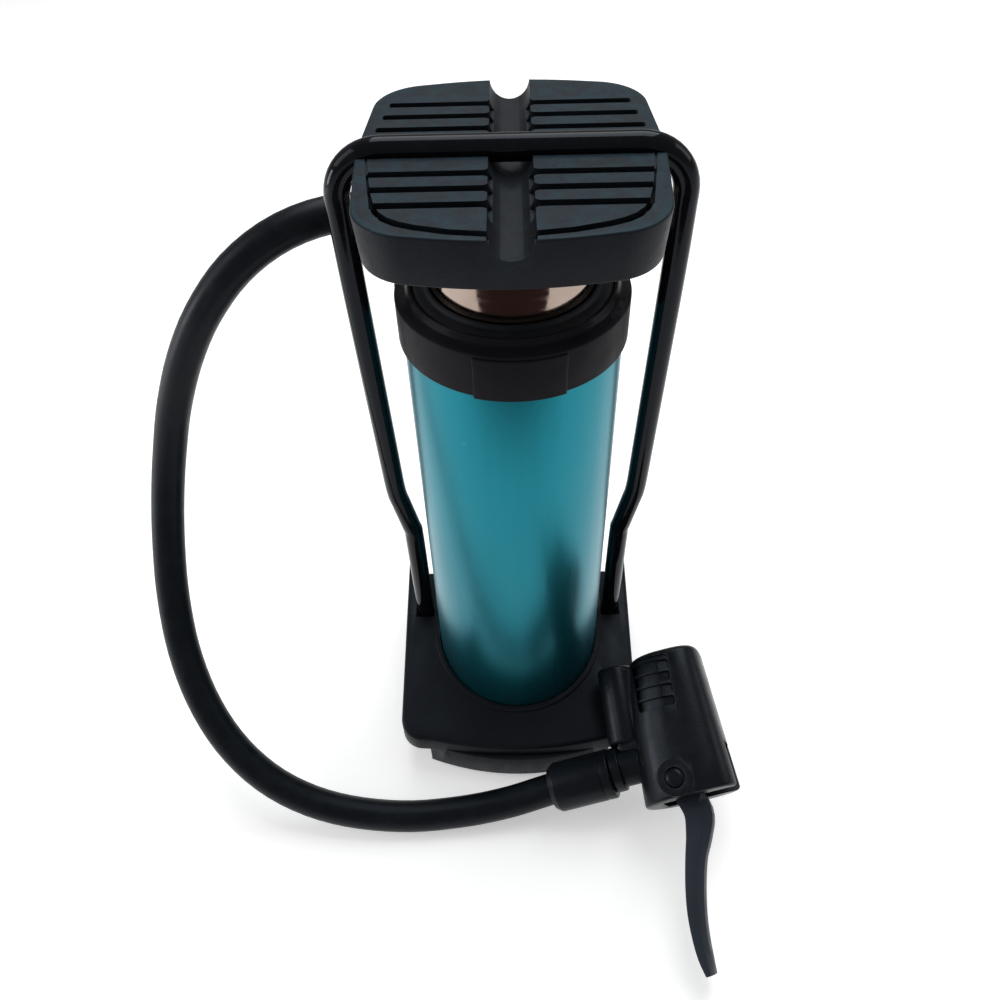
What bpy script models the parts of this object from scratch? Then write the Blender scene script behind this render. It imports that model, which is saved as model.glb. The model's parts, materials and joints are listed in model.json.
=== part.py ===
"""A foot air pump with a locking wire bail, a return-sprung plunger and a hose with a lever valve head.

Lengths below are millimetres and become metres where a mesh is made. +Z is up, +Y points to the
rear, and the origin lies on the floor under the barrel's axis. The valve head is drawn in its own
frame: +X across it, +Y along its body to the valve port and +Z along the lever's pin, with the
origin at the middle of the lever end.
"""

import math

import bmesh
import bpy
from mathutils import Matrix, Vector

MM = 0.001
GAP = 0.3  # between pieces that touch
FINE = 48  # sides of the large turned pieces that show
ROUND = 36  # sides of the large pieces inside
SMALL = 20  # sides of the small turned pieces

# Base: its top slopes down to the front.
BASE_HALF_WIDTH = 38.0
BASE_REAR = 36.7
BASE_CORNER_Y = -35.8
BASE_FRONT = -39.0
BASE_UNDERSIDE = 1.8
FLANGE_UNDERSIDE = 9.5
TOP_AT_AXIS = 26.0
TOP_SLOPE = math.tan(math.radians(14.0))
PLINTH_HALF_WIDTH = 29.0
PLINTH_TOP = 11.5
HEEL_FRONT = -8.0
LIP_RADIUS = 28.0
LIP_HEIGHT = 0.9
SOCKET_FLOOR = 12.0

# Barrel, and the plug that closes its foot.
BARREL_RADIUS = 26.0
BORE_RADIUS = 24.0
BARREL_TOP = 156.5
PLUG_TOP = 21.0
SCREW_CIRCLE = 15.0
CHAMBER_Y = 18.0
CHAMBER_RADIUS = 4.5
OUTLET_Z = 8.0
OUTLET_RISER_Y = 46.0
OUTLET_TOP = 23.7

# Collar on the barrel's mouth.
COLLAR_BOTTOM = 149.6
COLLAR_RIM = 161.0
COLLAR_RADIUS = 27.1
GRIP_RADIUS = 27.6
GRIP_SPAN = math.radians(44.0)
GRIP_START = -87.0  # degrees, the middle of the first land
MOUTH_RADIUS = 23.2

# Plunger, with the pedal on top and the piston below.
TUBE_RADIUS = 19.0
TUBE_WALL = 1.2
PISTON_BOTTOM = 41.0
PEDAL_BOTTOM = 182.0
PEDAL_TOP = 192.7
PEDAL_SIDE = 31.6
PEDAL_CORNER = (29.5, 31.6)
PEDAL_FILLET = 12.0
PEDAL_END = 36.9
PEDAL_SHRINK = 0.975  # of the outline from top to bottom
HOSE_CHANNEL_RADIUS = 4.5
SLOT_PITCH = 6.15
SLOT_WIDTH = 2.3
SLOT_DEPTH = 2.6
FIRST_SLOT = 9.95
SPRING_RADIUS = 15.5
SPRING_WIRE_RADIUS = 1.1
SPRING_TURNS = 12

# Wire bail.
WIRE_RADIUS = 2.85
BAR_Z = 193.1
BAR_HALF = 36.7
BAR_CORNER = 10.5
PIVOT_Y = 8.0
PIVOT_Z = 18.0
CHANNEL_INSIDE = 28.4
CHANNEL_OUTSIDE = 34.7
CHANNEL_FLOOR = 10.5
CHANNEL_FRONT = 4.6

# Hose: the points of its route, from the outlet round to the valve head.
HOSE_RADIUS = 4.75
HOSE_STEP = 17.0
HOSE_ROUTE = (
    (0, 46, 24), (0, 46, 40), (0.1, 45.8, 54.7), (0.3, 45.3, 70.7), (0.4, 44.8, 84.8),
    (-0.1, 44.2, 99.6), (-2.2, 43.1, 120), (-7.5, 41.4, 137.3), (-16.7, 38.8, 150.8),
    (-29.3, 35.2, 159.5), (-43.2, 30.9, 162.8), (-56.9, 25.9, 160.9), (-69.4, 21.8, 153.9),
    (-80.3, 19.3, 142.2), (-89.2, 18.3, 127.9), (-96.3, 17.2, 112.5), (-100.8, 14.7, 99.2),
    (-104.2, 9.8, 85.7), (-106, 2.1, 72.3), (-105.9, -8.5, 58.7), (-103.2, -20.4, 45.6),
    (-97.8, -31.2, 34.1), (-89.8, -40.5, 24.4), (-79.2, -47.8, 16.4), (-66.6, -52.6, 10.6),
    (-52.3, -55.2, 6.9), (-35.1, -56, 5.1), (-18, -54.8, 5.6), (-3.5, -52.9, 7.8), (10.2, -50.5, 11.9),
    (24.2, -49.3, 17.1),
)

# Valve head, in its own frame but for the place and the directions of that frame.
HEAD_ORIGIN = (50.1, -58.5, 22.8)
HEAD_ALONG = (-0.103, 0.951, 0.292)
HEAD_ACROSS = (0.9454, 0.0023, 0.3258)
HEAD_LENGTH = 43.0
HEAD_LEFT = 13.4
HEAD_RIGHT = 14.8
HEAD_PORT_LEFT = 10.9
HEAD_PORT_RIGHT = 11.4
HEAD_END_SLOPE = 0.085
HEAD_HALF_DEPTH = 11.8
FORK_END = 13.3
FORK_HALF_GAP = 5.2
LEVER_HALF_DEPTH = 4.8
PIN_X = -1.8
PIN_Y = 4.3
PIN_RADIUS = 2.1
PORT_BORE = 6.0
SECOND_PORT_X = -15.7
SECOND_PORT_RADIUS = 5.8
NECK_Y = 12.0  # where the neck's line meets the head's middle
NECK_TURN = math.radians(4.8)
FERRULE_START = 21.8  # along the neck
FERRULE_END = 41.4
FERRULE_RADIUS = 7.4

BLACK = (0.014, 0.016, 0.020)
DARK = (0.010, 0.010, 0.012)
TEAL = (0.012, 0.165, 0.215)
STEEL = (0.62, 0.60, 0.57)
SLATE = (0.028, 0.036, 0.048)


def clear_scene():
    for obj in list(bpy.data.objects):
        bpy.data.objects.remove(obj, do_unlink=True)


def material(name, colour, roughness, metallic=0.0):
    found = bpy.data.materials.get(name)
    if found:
        return found
    made = bpy.data.materials.new(name)
    made.use_nodes = True
    shader = made.node_tree.nodes["Principled BSDF"]
    shader.inputs["Base Color"].default_value = (*colour, 1.0)
    shader.inputs["Roughness"].default_value = roughness
    shader.inputs["Metallic"].default_value = metallic
    made.diffuse_color = (*colour, 1.0)
    return made


def base_plastic():
    return material("base_plastic", BLACK, 0.5)


def pedal_plastic():
    return material("pedal_plastic", SLATE, 0.6)


def collar_plastic():
    return material("collar_plastic", DARK, 0.45)


def seal_rubber():
    return material("seal_rubber", DARK, 0.8)


def bright_steel():
    return material("bright_steel", STEEL, 0.2, 1.0)


def head_plastic():
    return material("head_plastic", BLACK, 0.35)


def add(obj, paint, parent=None):
    """Links an object under its parent and gives it its material."""
    bpy.context.scene.collection.objects.link(obj)
    obj.parent = parent
    if paint:
        obj.data.materials.append(paint)
    return obj


def mesh_object(name, bm, paint, parent=None, origin=(0, 0, 0)):
    """A mesh drawn in millimetres about an origin, as an object in metres with its round faces smooth."""
    bmesh.ops.recalc_face_normals(bm, faces=bm.faces)
    bmesh.ops.translate(bm, verts=bm.verts, vec=-Vector(origin))
    bmesh.ops.scale(bm, verts=bm.verts, vec=(MM, MM, MM))
    mesh = bpy.data.meshes.new(name)
    bm.to_mesh(mesh)
    bm.free()
    mesh.shade_smooth()
    mesh.set_sharp_from_angle(angle=math.radians(35))
    obj = add(bpy.data.objects.new(name, mesh), paint, parent)
    obj.location = Vector(origin) * MM
    return obj


def turned(name, profile, paint, sides=ROUND, place=None, parent=None, origin=(0, 0, 0)):
    """A body turned about Z from (radius, height) points: a ring, or a solid whose ends lie on the axis."""
    bm = bmesh.new()
    rings = []
    for radius, height in profile:
        if radius == 0:
            rings.append([bm.verts.new((0, 0, height))] * sides)
            continue
        turn = [2 * math.pi * i / sides for i in range(sides)]
        rings.append([bm.verts.new((radius * math.cos(a), radius * math.sin(a), height)) for a in turn])
    pairs = list(zip(rings, rings[1:]))
    if profile[0][0] > 0:
        pairs.append((rings[-1], rings[0]))
    for low, high in pairs:
        for i in range(sides):
            corners = (low[i - 1], low[i], high[i], high[i - 1])
            bm.faces.new(list(dict.fromkeys(corners)))
    if place:
        bmesh.ops.transform(bm, matrix=place, verts=bm.verts)
    return mesh_object(name, bm, paint, parent, origin)


def rod(name, radius, start, end, paint=None, sides=SMALL, parent=None):
    """A plain cylinder between two points."""
    axis = Vector(end) - Vector(start)
    place = Matrix.Translation(start) @ axis.to_track_quat("Z", "Y").to_matrix().to_4x4()
    profile = ((0, 0), (radius, 0), (radius, axis.length), (0, axis.length))
    return turned(name, profile, paint, sides, place, parent)


def loft(name, sections, paint=None, parent=None, origin=(0, 0, 0)):
    """A solid through rings of points that have one count, capped at both ends."""
    bm = bmesh.new()
    rings = [[bm.verts.new(p) for p in section] for section in sections]
    for low, high in zip(rings, rings[1:]):
        for i in range(len(low)):
            bm.faces.new((low[i - 1], low[i], high[i], high[i - 1]))
    bm.faces.new(rings[0])
    bm.faces.new(rings[-1])
    return mesh_object(name, bm, paint, parent, origin)


def prism(name, outline, bottom, top, paint=None, parent=None, origin=(0, 0, 0)):
    """An outline in X and Y raised from a height to a height, which may be a function of y."""
    low, high = [h if callable(h) else (lambda y, h=h: h) for h in (bottom, top)]
    sections = [[(x, y, height(y)) for x, y in outline] for height in (low, high)]
    return loft(name, sections, paint, parent, origin)


def box(name, low, high, paint=None, parent=None):
    outline = ((low[0], low[1]), (high[0], low[1]), (high[0], high[1]), (low[0], high[1]))
    return prism(name, outline, low[2], high[2], paint, parent)


def rounded(corners, steps=4):
    """An outline from (x, y, fillet radius) corners, its fillets as arcs."""
    outline = []
    for i, (x, y, radius) in enumerate(corners):
        here = Vector((x, y))
        before = (Vector(corners[i - 1][:2]) - here).normalized()
        after = (Vector(corners[(i + 1) % len(corners)][:2]) - here).normalized()
        if radius == 0:
            outline.append(tuple(here))
            continue
        half = before.angle(after) / 2
        middle = here + (before + after).normalized() * radius / math.sin(half)
        start = here + before * radius / math.tan(half) - middle
        end = here + after * radius / math.tan(half) - middle
        for k in range(steps + 1):
            spoke = start.lerp(end, k / steps).normalized() * radius
            outline.append(tuple(middle + spoke))
    return outline


def arc_front(half_width, side_y, middle_y, count=9):
    """Points along a front edge that bows forward, from +X to -X."""
    spots = [half_width * (1 - 2 * i / (count - 1)) for i in range(count)]
    return [(x, middle_y + (side_y - middle_y) * (x / half_width) ** 2) for x in spots]


def boolean(target, tool, operation):
    modifier = target.modifiers.new(tool.name, "BOOLEAN")
    modifier.operation = operation
    modifier.solver = "EXACT"
    modifier.object = tool
    tool.hide_render = True
    tool.display_type = "WIRE"


def cut(target, *tools):
    for tool in tools:
        boolean(target, tool, "DIFFERENCE")


def join(target, *tools):
    for tool in tools:
        boolean(target, tool, "UNION")


def soften(obj, width, segments=2):
    """Rounds the sharp edges of a shape before anything is cut from it."""
    modifier = obj.modifiers.new("soften", "BEVEL")
    modifier.width = width * MM
    modifier.segments = segments
    modifier.limit_method = "ANGLE"
    modifier.angle_limit = math.radians(50)


def smooth_route(points, step):
    """Even points along a smooth curve through the given ones."""
    knots = [Vector(p) for p in points]
    knots = [2 * knots[0] - knots[1], *knots, 2 * knots[-1] - knots[-2]]
    fine = []
    for a, b, c, d in zip(knots, knots[1:], knots[2:], knots[3:]):
        for k in range(12):
            t = k / 12
            square = (2 * a - 5 * b + 4 * c - d) * t**2
            cube = (3 * b - a - 3 * c + d) * t**3
            fine.append(b + ((c - a) * t + square + cube) / 2)
    fine.append(knots[-2])
    length = sum((q - p).length for p, q in zip(fine, fine[1:]))
    count = round(length / step)
    even, walked, reached = [fine[0]], 0.0, 1
    for p, q in zip(fine, fine[1:]):
        span = (q - p).length
        while reached < count and walked + span >= reached * length / count:
            even.append(p.lerp(q, (reached * length / count - walked) / span))
            reached += 1
        walked += span
    return even + [fine[-1]]


def tube_along(name, points, radius, paint, resolution=2, origin=(0, 0, 0)):
    """A round bar whose centreline is straight between the points."""
    curve = bpy.data.curves.new(name, "CURVE")
    curve.dimensions = "3D"
    curve.bevel_depth = radius * MM
    curve.bevel_resolution = resolution
    curve.use_fill_caps = True
    spline = curve.splines.new("POLY")
    spline.points.add(len(points) - 1)
    for spot, point in zip(spline.points, points):
        spot.co = (*((Vector(point) - Vector(origin)) * MM), 1.0)
    obj = add(bpy.data.objects.new(name, curve), paint)
    obj.location = Vector(origin) * MM
    return obj


def base_top(y):
    return TOP_AT_AXIS + TOP_SLOPE * y


def plinth_outline(inset=0.0):
    """The narrow front and the wide heel that reach the floor."""
    side = PLINTH_HALF_WIDTH - inset
    wide = BASE_HALF_WIDTH - 0.4 - inset
    rear = BASE_REAR - 0.4 - inset
    front = arc_front(side, -35.0 + inset, -40.6 + inset)
    heel = rounded(
        ((-side, HEEL_FRONT, 0), (-wide, HEEL_FRONT + inset, 3), (-wide, rear, 4), (wide, rear, 4),
         (wide, HEEL_FRONT + inset, 3), (side, HEEL_FRONT, 0))
    )
    return front + heel


def base_body():
    outline = arc_front(28.0, -36.0, BASE_FRONT) + rounded(
        ((-BASE_HALF_WIDTH, BASE_CORNER_Y, 7), (-BASE_HALF_WIDTH, BASE_REAR, 4),
         (BASE_HALF_WIDTH, BASE_REAR, 4), (BASE_HALF_WIDTH, BASE_CORNER_Y, 7))
    )
    body = prism("base_body", outline, FLANGE_UNDERSIDE, base_top, base_plastic())
    soften(body, 1.2)
    circle = [
        (LIP_RADIUS * math.cos(a), LIP_RADIUS * math.sin(a))
        for a in (2 * math.pi * i / FINE for i in range(FINE))
    ]
    lip = prism("lip_form", circle, SOCKET_FLOOR, lambda y: base_top(y) + LIP_HEIGHT)
    plinth = prism("plinth_form", plinth_outline(), BASE_UNDERSIDE, PLINTH_TOP)
    join(body, plinth, lip)
    cut(body, rod("socket_cut", BARREL_RADIUS + GAP, (0, 0, SOCKET_FLOOR), (0, 0, 60), sides=FINE))
    for side in (-1, 1):
        xs = sorted((side * CHANNEL_INSIDE, side * CHANNEL_OUTSIDE))
        cut(body, box(f"channel_cut_{side}", (xs[0], CHANNEL_FRONT, CHANNEL_FLOOR), (xs[1], 45, 60)))
        start, end = (side * 31, PIVOT_Y, PIVOT_Z), (side * 45, PIVOT_Y, PIVOT_Z)
        cut(body, rod(f"pivot_cut_{side}", WIRE_RADIUS + 0.35, start, end))
    for i, (x, y) in enumerate(screw_places()):
        cut(body, rod(f"screw_cut_{i}", 1.8, (x, y, 4), (x, y, 15), sides=16))
        cut(body, rod(f"screw_head_cut_{i}", 3.5, (x, y, 0), (x, y, 6), sides=16))
    low, high = (0, CHAMBER_Y, 3.2), (0, CHAMBER_Y, 15)
    cut(body, rod("chamber_cut", CHAMBER_RADIUS, low, high))
    cut(body, rod("outlet_cut", 1.5, (0, CHAMBER_Y, OUTLET_Z), (0, 34, OUTLET_Z), sides=12))
    cut(body, rod("spigot_cut", 4.3, (0, 28, OUTLET_Z), (0, 45, OUTLET_Z)))
    return body


def sole_pad():
    return prism("sole_pad", plinth_outline(2.0), 0.0, BASE_UNDERSIDE - GAP, seal_rubber())


def screw_places():
    return ((SCREW_CIRCLE, 0), (-SCREW_CIRCLE, 0), (0, -SCREW_CIRCLE))


def base_screws():
    profile = ((0, 3.2), (3.0, 3.2), (3.0, 5.7), (1.5, 5.7), (1.5, 18.0), (0, 18.0))
    for i, (x, y) in enumerate(screw_places(), 1):
        turned(f"base_screw_{i}", profile, bright_steel(), 12, Matrix.Translation((x, y, 0)))


def barrel_tube():
    bottom = SOCKET_FLOOR + GAP
    profile = (
        (BORE_RADIUS, bottom), (BARREL_RADIUS, bottom), (BARREL_RADIUS, BARREL_TOP - 0.5),
        (BARREL_RADIUS - 0.5, BARREL_TOP), (BORE_RADIUS, BARREL_TOP),
    )
    anodised = material("teal_anodised", TEAL, 0.25, 0.9)
    return turned("barrel_tube", profile, anodised, FINE)


def barrel_plug():
    """The plug in the barrel's foot: an O-ring groove, a spigot for the spring guide and the outlet hole."""
    edge, groove, bottom = BORE_RADIUS - GAP, 22.0, SOCKET_FLOOR + GAP
    profile = (
        (0, bottom), (edge, bottom), (edge, 15.5), (groove, 15.5), (groove, 17.7), (edge, 17.7),
        (edge, PLUG_TOP), (11.0, PLUG_TOP), (11.0, 25.0), (0, 25.0),
    )
    plug = turned("barrel_plug", profile, base_plastic())
    for i, (x, y) in enumerate(screw_places()):
        cut(plug, rod(f"plug_screw_cut_{i}", 1.8, (x, y, 10), (x, y, 18.5), sides=12))
    cut(plug, rod("plug_outlet_cut", 1.5, (0, CHAMBER_Y, 10), (0, CHAMBER_Y, 24), sides=12))
    return plug


def ring(name, radius, thick, height, paint, sides=ROUND, around=5):
    """An O-ring about Z."""
    turn = [2 * math.pi * i / around for i in range(around)]
    profile = [(radius + thick * math.cos(a), height + thick * math.sin(a)) for a in turn]
    return turned(name, profile, paint, sides)


def outlet_valve():
    """The seat, the disc and its spring, in the chamber under the plug."""
    at = Matrix.Translation((0, CHAMBER_Y, 0))
    seat = ((1.5, 9.9), (4.2, 9.9), (4.2, 12.0), (1.5, 12.0))
    turned("valve_seat", seat, base_plastic(), SMALL, at)
    disc = ((0, 8.5), (3.3, 8.5), (3.3, 9.6), (0, 9.6))
    turned("valve_disc", disc, seal_rubber(), SMALL, at)
    points = coil((0, CHAMBER_Y), 2.2, 3.9, 7.8, 3, 10)
    tube_along("valve_spring", points, 0.35, bright_steel(), 1)


def coil(centre, radius, low, high, turns, sides):
    """Points along a compression spring whose end turns lie flat."""
    points = []
    for i in range(turns * sides + 1):
        share = i / (turns * sides)
        flat = 1.0 / turns
        rise = min(max((share - flat / 2) / (1 - flat), 0.0), 1.0)
        angle = 2 * math.pi * i / sides
        lift = low + (high - low) * rise + 0.02 * i / sides
        x, y = radius * math.cos(angle), radius * math.sin(angle)
        points.append((centre[0] + x, centre[1] + y, lift))
    return points


def outlet_elbow():
    """The hose fitting behind the base: a spigot into the base, a flange and a riser with a barb."""
    riser = (
        (0, 3.0), (4.6, 3.0), (5.4, 3.8), (5.4, 13.0), (4.6, 15.0), (3.6, 15.6), (3.6, 21.0), (3.9, 21.3),
        (3.3, OUTLET_TOP), (0, OUTLET_TOP),
    )
    place = Matrix.Translation((0, OUTLET_RISER_Y, 0))
    elbow = turned("outlet_elbow", riser, base_plastic(), 22, place)
    spigot = rod("spigot_form", 4.0, (0, 28.6, OUTLET_Z), (0, 44, OUTLET_Z), sides=24)
    flange = rod("flange_form", 6.4, (0, 37.1, OUTLET_Z), (0, 39.3, OUTLET_Z), sides=24)
    join(elbow, spigot, flange)
    cut(elbow, rod("elbow_cut_down", 1.9, (0, OUTLET_RISER_Y, 6.1), (0, OUTLET_RISER_Y, 30), sides=14))
    cut(elbow, rod("elbow_cut_along", 1.4, (0, 20, OUTLET_Z), (0, OUTLET_RISER_Y + 0.3, OUTLET_Z), sides=12))
    return elbow


def outlet_ferrule():
    """The crimped sleeve that holds the hose on the outlet's barb."""
    inner, outer = HOSE_RADIUS + GAP, 6.3
    profile = (
        (inner, 16.2), (outer - 0.5, 16.2), (outer, 16.9), (outer, 35.0), (5.6, 37.0), (inner, 37.0),
    )
    place = Matrix.Translation((0, OUTLET_RISER_Y, 0))
    return turned("outlet_ferrule", profile, collar_plastic(), 24, place)


def collar_cap():
    """The screwed cap on the barrel's mouth, with three grip lands."""
    wall = BARREL_RADIUS + GAP
    profile = (
        (wall, COLLAR_BOTTOM), (26.8, COLLAR_BOTTOM), (COLLAR_RADIUS, COLLAR_BOTTOM + 0.6),
        (COLLAR_RADIUS, COLLAR_RIM - 1.0), (COLLAR_RADIUS - 0.3, COLLAR_RIM - 0.3),
        (COLLAR_RADIUS - 1.0, COLLAR_RIM + 0.1), (MOUTH_RADIUS + 0.6, 163.2), (MOUTH_RADIUS, 163.2),
        (MOUTH_RADIUS, 158.7), (wall, 158.7),
    )
    cap = turned("collar_cap", profile, collar_plastic(), FINE)
    for i in range(3):
        middle = math.radians(GRIP_START + 120 * i)
        turn = [middle + GRIP_SPAN * (k / 8 - 0.5) for k in range(9)]
        outline = [(GRIP_RADIUS * math.cos(a), GRIP_RADIUS * math.sin(a)) for a in turn]
        outline += [(26.7 * math.cos(a), 26.7 * math.sin(a)) for a in reversed(turn)]
        join(cap, prism(f"grip_form_{i}", outline, COLLAR_BOTTOM - 0.4, COLLAR_RIM - 0.8))
    return cap


def guide_bush():
    """The flanged bush that guides the plunger in the barrel's mouth."""
    inner, outer = TUBE_RADIUS + GAP, BORE_RADIUS - GAP
    profile = (
        (inner, 146.0), (outer, 146.0), (outer, BARREL_TOP + GAP), (25.7, BARREL_TOP + GAP),
        (25.7, 158.4), (inner, 158.4),
    )
    return turned("guide_bush", profile, base_plastic())


def wiper_ring():
    """The wiper on top of the bush, with a raised lip against the plunger."""
    inner, outer = TUBE_RADIUS + GAP, MOUTH_RADIUS - GAP
    profile = (
        (inner, 158.7), (outer, 158.7), (outer, 162.6), (22.0, 163.0), (20.6, 163.0), (19.9, 163.7),
        (inner, 163.7),
    )
    return turned("wiper_ring", profile, seal_rubber(), FINE)


def spring_guide():
    """The core that keeps the spring straight and fills dead volume; open at its foot."""
    profile = (
        (11.5, PLUG_TOP + GAP), (13.5, PLUG_TOP + GAP), (13.5, 149.0), (11.5, 152.0), (0, 152.0),
        (0, 150.0), (11.5, 148.0),
    )
    return turned_open("spring_guide", profile, base_plastic(), 32)


def turned_open(name, profile, paint, sides):
    """A cup turned about Z, whose profile touches the axis on its two neighbouring middle points."""
    middle = [i for i, (radius, _) in enumerate(profile) if radius == 0][0]
    return turned(name, profile[middle + 1:] + profile[:middle + 1], paint, sides)


def plunger_tube():
    inner = TUBE_RADIUS - TUBE_WALL
    profile = ((inner, 45.0), (TUBE_RADIUS, 45.0), (TUBE_RADIUS, 186.2), (inner, 186.2))
    return turned("plunger_tube", profile, material("polished_tube", STEEL, 0.12, 1.0), FINE)


def piston_head():
    """The ring on the tube's foot that carries the seal."""
    low = PISTON_BOTTOM
    profile = (
        (17.2, low), (23.3, low), (23.3, 43.4), (21.2, 43.4), (21.2, 47.0), (23.3, 47.0), (23.3, 50.5),
        (TUBE_RADIUS + GAP, 50.5), (TUBE_RADIUS + GAP, 44.7), (17.2, 44.7),
    )
    return turned("piston_head", profile, base_plastic())


def piston_seal():
    profile = ((21.5, 43.7), (23.3, 43.7), (23.7, 45.0), (23.0, 46.7), (21.5, 46.7))
    return turned("piston_seal", profile, seal_rubber())


def tube_cap():
    """The plug in the tube's top that the spring pushes and the pedal is screwed to."""
    profile = ((2.4, 178.0), (17.5, 178.0), (17.5, 186.2), (2.4, 186.2))
    return turned("tube_cap", profile, base_plastic(), 32)


def pedal_screw():
    profile = ((0, 174.6), (4.5, 174.6), (4.5, 177.7), (2.1, 177.7), (2.1, 187.0), (0, 187.0))
    return turned("pedal_screw", profile, bright_steel(), 16)


def return_spring():
    low, high = PLUG_TOP + GAP + SPRING_WIRE_RADIUS + 0.1, 178.0 - GAP - SPRING_WIRE_RADIUS - 0.4
    points = coil((0, 0), SPRING_RADIUS, low, high, SPRING_TURNS, 12)
    return tube_along("return_spring", points, SPRING_WIRE_RADIUS, bright_steel(), 0)


def pedal():
    """The foot pedal: cross slots, a bar groove, a hose channel along it and a socket for the plunger."""
    side, (corner_x, corner_y), end = PEDAL_SIDE, PEDAL_CORNER, PEDAL_END
    corners = []
    for turn in (1, -1):
        corners += [
            (turn * side, 0, 60), (turn * corner_x, turn * corner_y, PEDAL_FILLET), (0, turn * end, 90),
            (-turn * corner_x, turn * corner_y, PEDAL_FILLET),
        ]
    top = rounded(corners, 3)
    low = [(x * PEDAL_SHRINK, y * PEDAL_SHRINK) for x, y in top]
    sections = ([(x, y, PEDAL_BOTTOM) for x, y in low], [(x, y, PEDAL_TOP) for x, y in top])
    body = loft("pedal", sections, pedal_plastic())
    soften(body, 0.5)
    height = PEDAL_TOP + 0.2
    cut(body, rod("hose_channel_cut", HOSE_CHANNEL_RADIUS, (0, -50, height), (0, 50, height)))
    wide = WIRE_RADIUS + 0.35
    cut(body, rod("bar_groove_cut", wide, (-50, 0, BAR_Z), (50, 0, BAR_Z)))
    for side in (-1, 1):
        start, end = (side * 24.0, 0, BAR_Z + 0.7), (side * 40.0, 0, BAR_Z - 4.0)
        cut(body, rod(f"bar_corner_cut_{side}", wide, start, end))
    for turn in (-1, 1):
        for i in range(3):
            y = turn * (FIRST_SLOT + SLOT_PITCH * i)
            reach = 28.3 - 0.95 * i
            low_corner = (-reach, y - SLOT_WIDTH / 2, PEDAL_TOP - SLOT_DEPTH)
            cut(body, box(f"slot_cut_{turn}_{i}", low_corner, (reach, y + SLOT_WIDTH / 2, PEDAL_TOP + 5)))
    cut(body, rod("tube_socket_cut", TUBE_RADIUS + GAP, (0, 0, 180), (0, 0, 186.5), sides=ROUND))
    cut(body, rod("pedal_screw_cut", 2.4, (0, 0, 185), (0, 0, 187.3), sides=16))
    return body


def bail_half():
    """Centreline of the bail's half at +X, from the pivot end up to the middle of the bar."""
    lean = PIVOT_Y / (BAR_Z - PIVOT_Z)
    corner = [
        (BAR_HALF - BAR_CORNER * (1 - math.cos(a)), BAR_Z - BAR_CORNER * (1 - math.sin(a)))
        for a in (math.radians(15 * k) for k in range(7))
    ]
    foot = [
        (34.5 - 3.0 * math.sin(a), PIVOT_Z + 3.0 * (1 - math.cos(a)))
        for a in (math.radians(30 * k) for k in range(4))
    ]
    legs = [(31.5, 68.5), (31.9, 73.0), (34.2, 85.5), (34.8, 90.0), (35.2, 104.0), (36.5, 160.0)]
    flat = [(37.7, PIVOT_Z), *foot, *legs, *corner]
    return [(x, PIVOT_Y - lean * (z - PIVOT_Z), z) for x, z in flat]


def bail_wire():
    right = bail_half()
    left = [(-x, y, z) for x, y, z in reversed(right)]
    coated = material("coated_wire", DARK, 0.25)
    return tube_along("bail_wire", right + left, WIRE_RADIUS, coated, 2, (0, PIVOT_Y, PIVOT_Z))


def air_hose():
    points = smooth_route(HOSE_ROUTE, HOSE_STEP)
    return tube_along("air_hose", points, HOSE_RADIUS, material("hose_rubber", DARK, 0.4), 3)


def head_frame():
    """An empty at the middle of the valve head's lever end, turned to the head's own directions."""
    along = Vector(HEAD_ALONG).normalized()
    across = Vector(HEAD_ACROSS)
    across = (across - along * across.dot(along)).normalized()
    up = across.cross(along)
    frame = bpy.data.objects.new("head_frame", None)
    add(frame, None)
    turn = Matrix((across, along, up)).transposed().to_4x4()
    frame.matrix_world = Matrix.Translation(Vector(HEAD_ORIGIN) * MM) @ turn
    return frame


def squircle(left, right, half_depth, y, slope, count=28):
    """A section across the head at y, squarer at its right, slanted along y by its slope."""
    section = []
    for i in range(count):
        angle = 2 * math.pi * i / count
        c, s = math.cos(angle), math.sin(angle)
        reach, power = (right, 0.6) if c > 0 else (left, 0.95)
        x = reach * math.copysign(abs(c) ** power, c)
        section.append((x, y + slope * x, half_depth * math.copysign(abs(s) ** power, s)))
    return section


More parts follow.
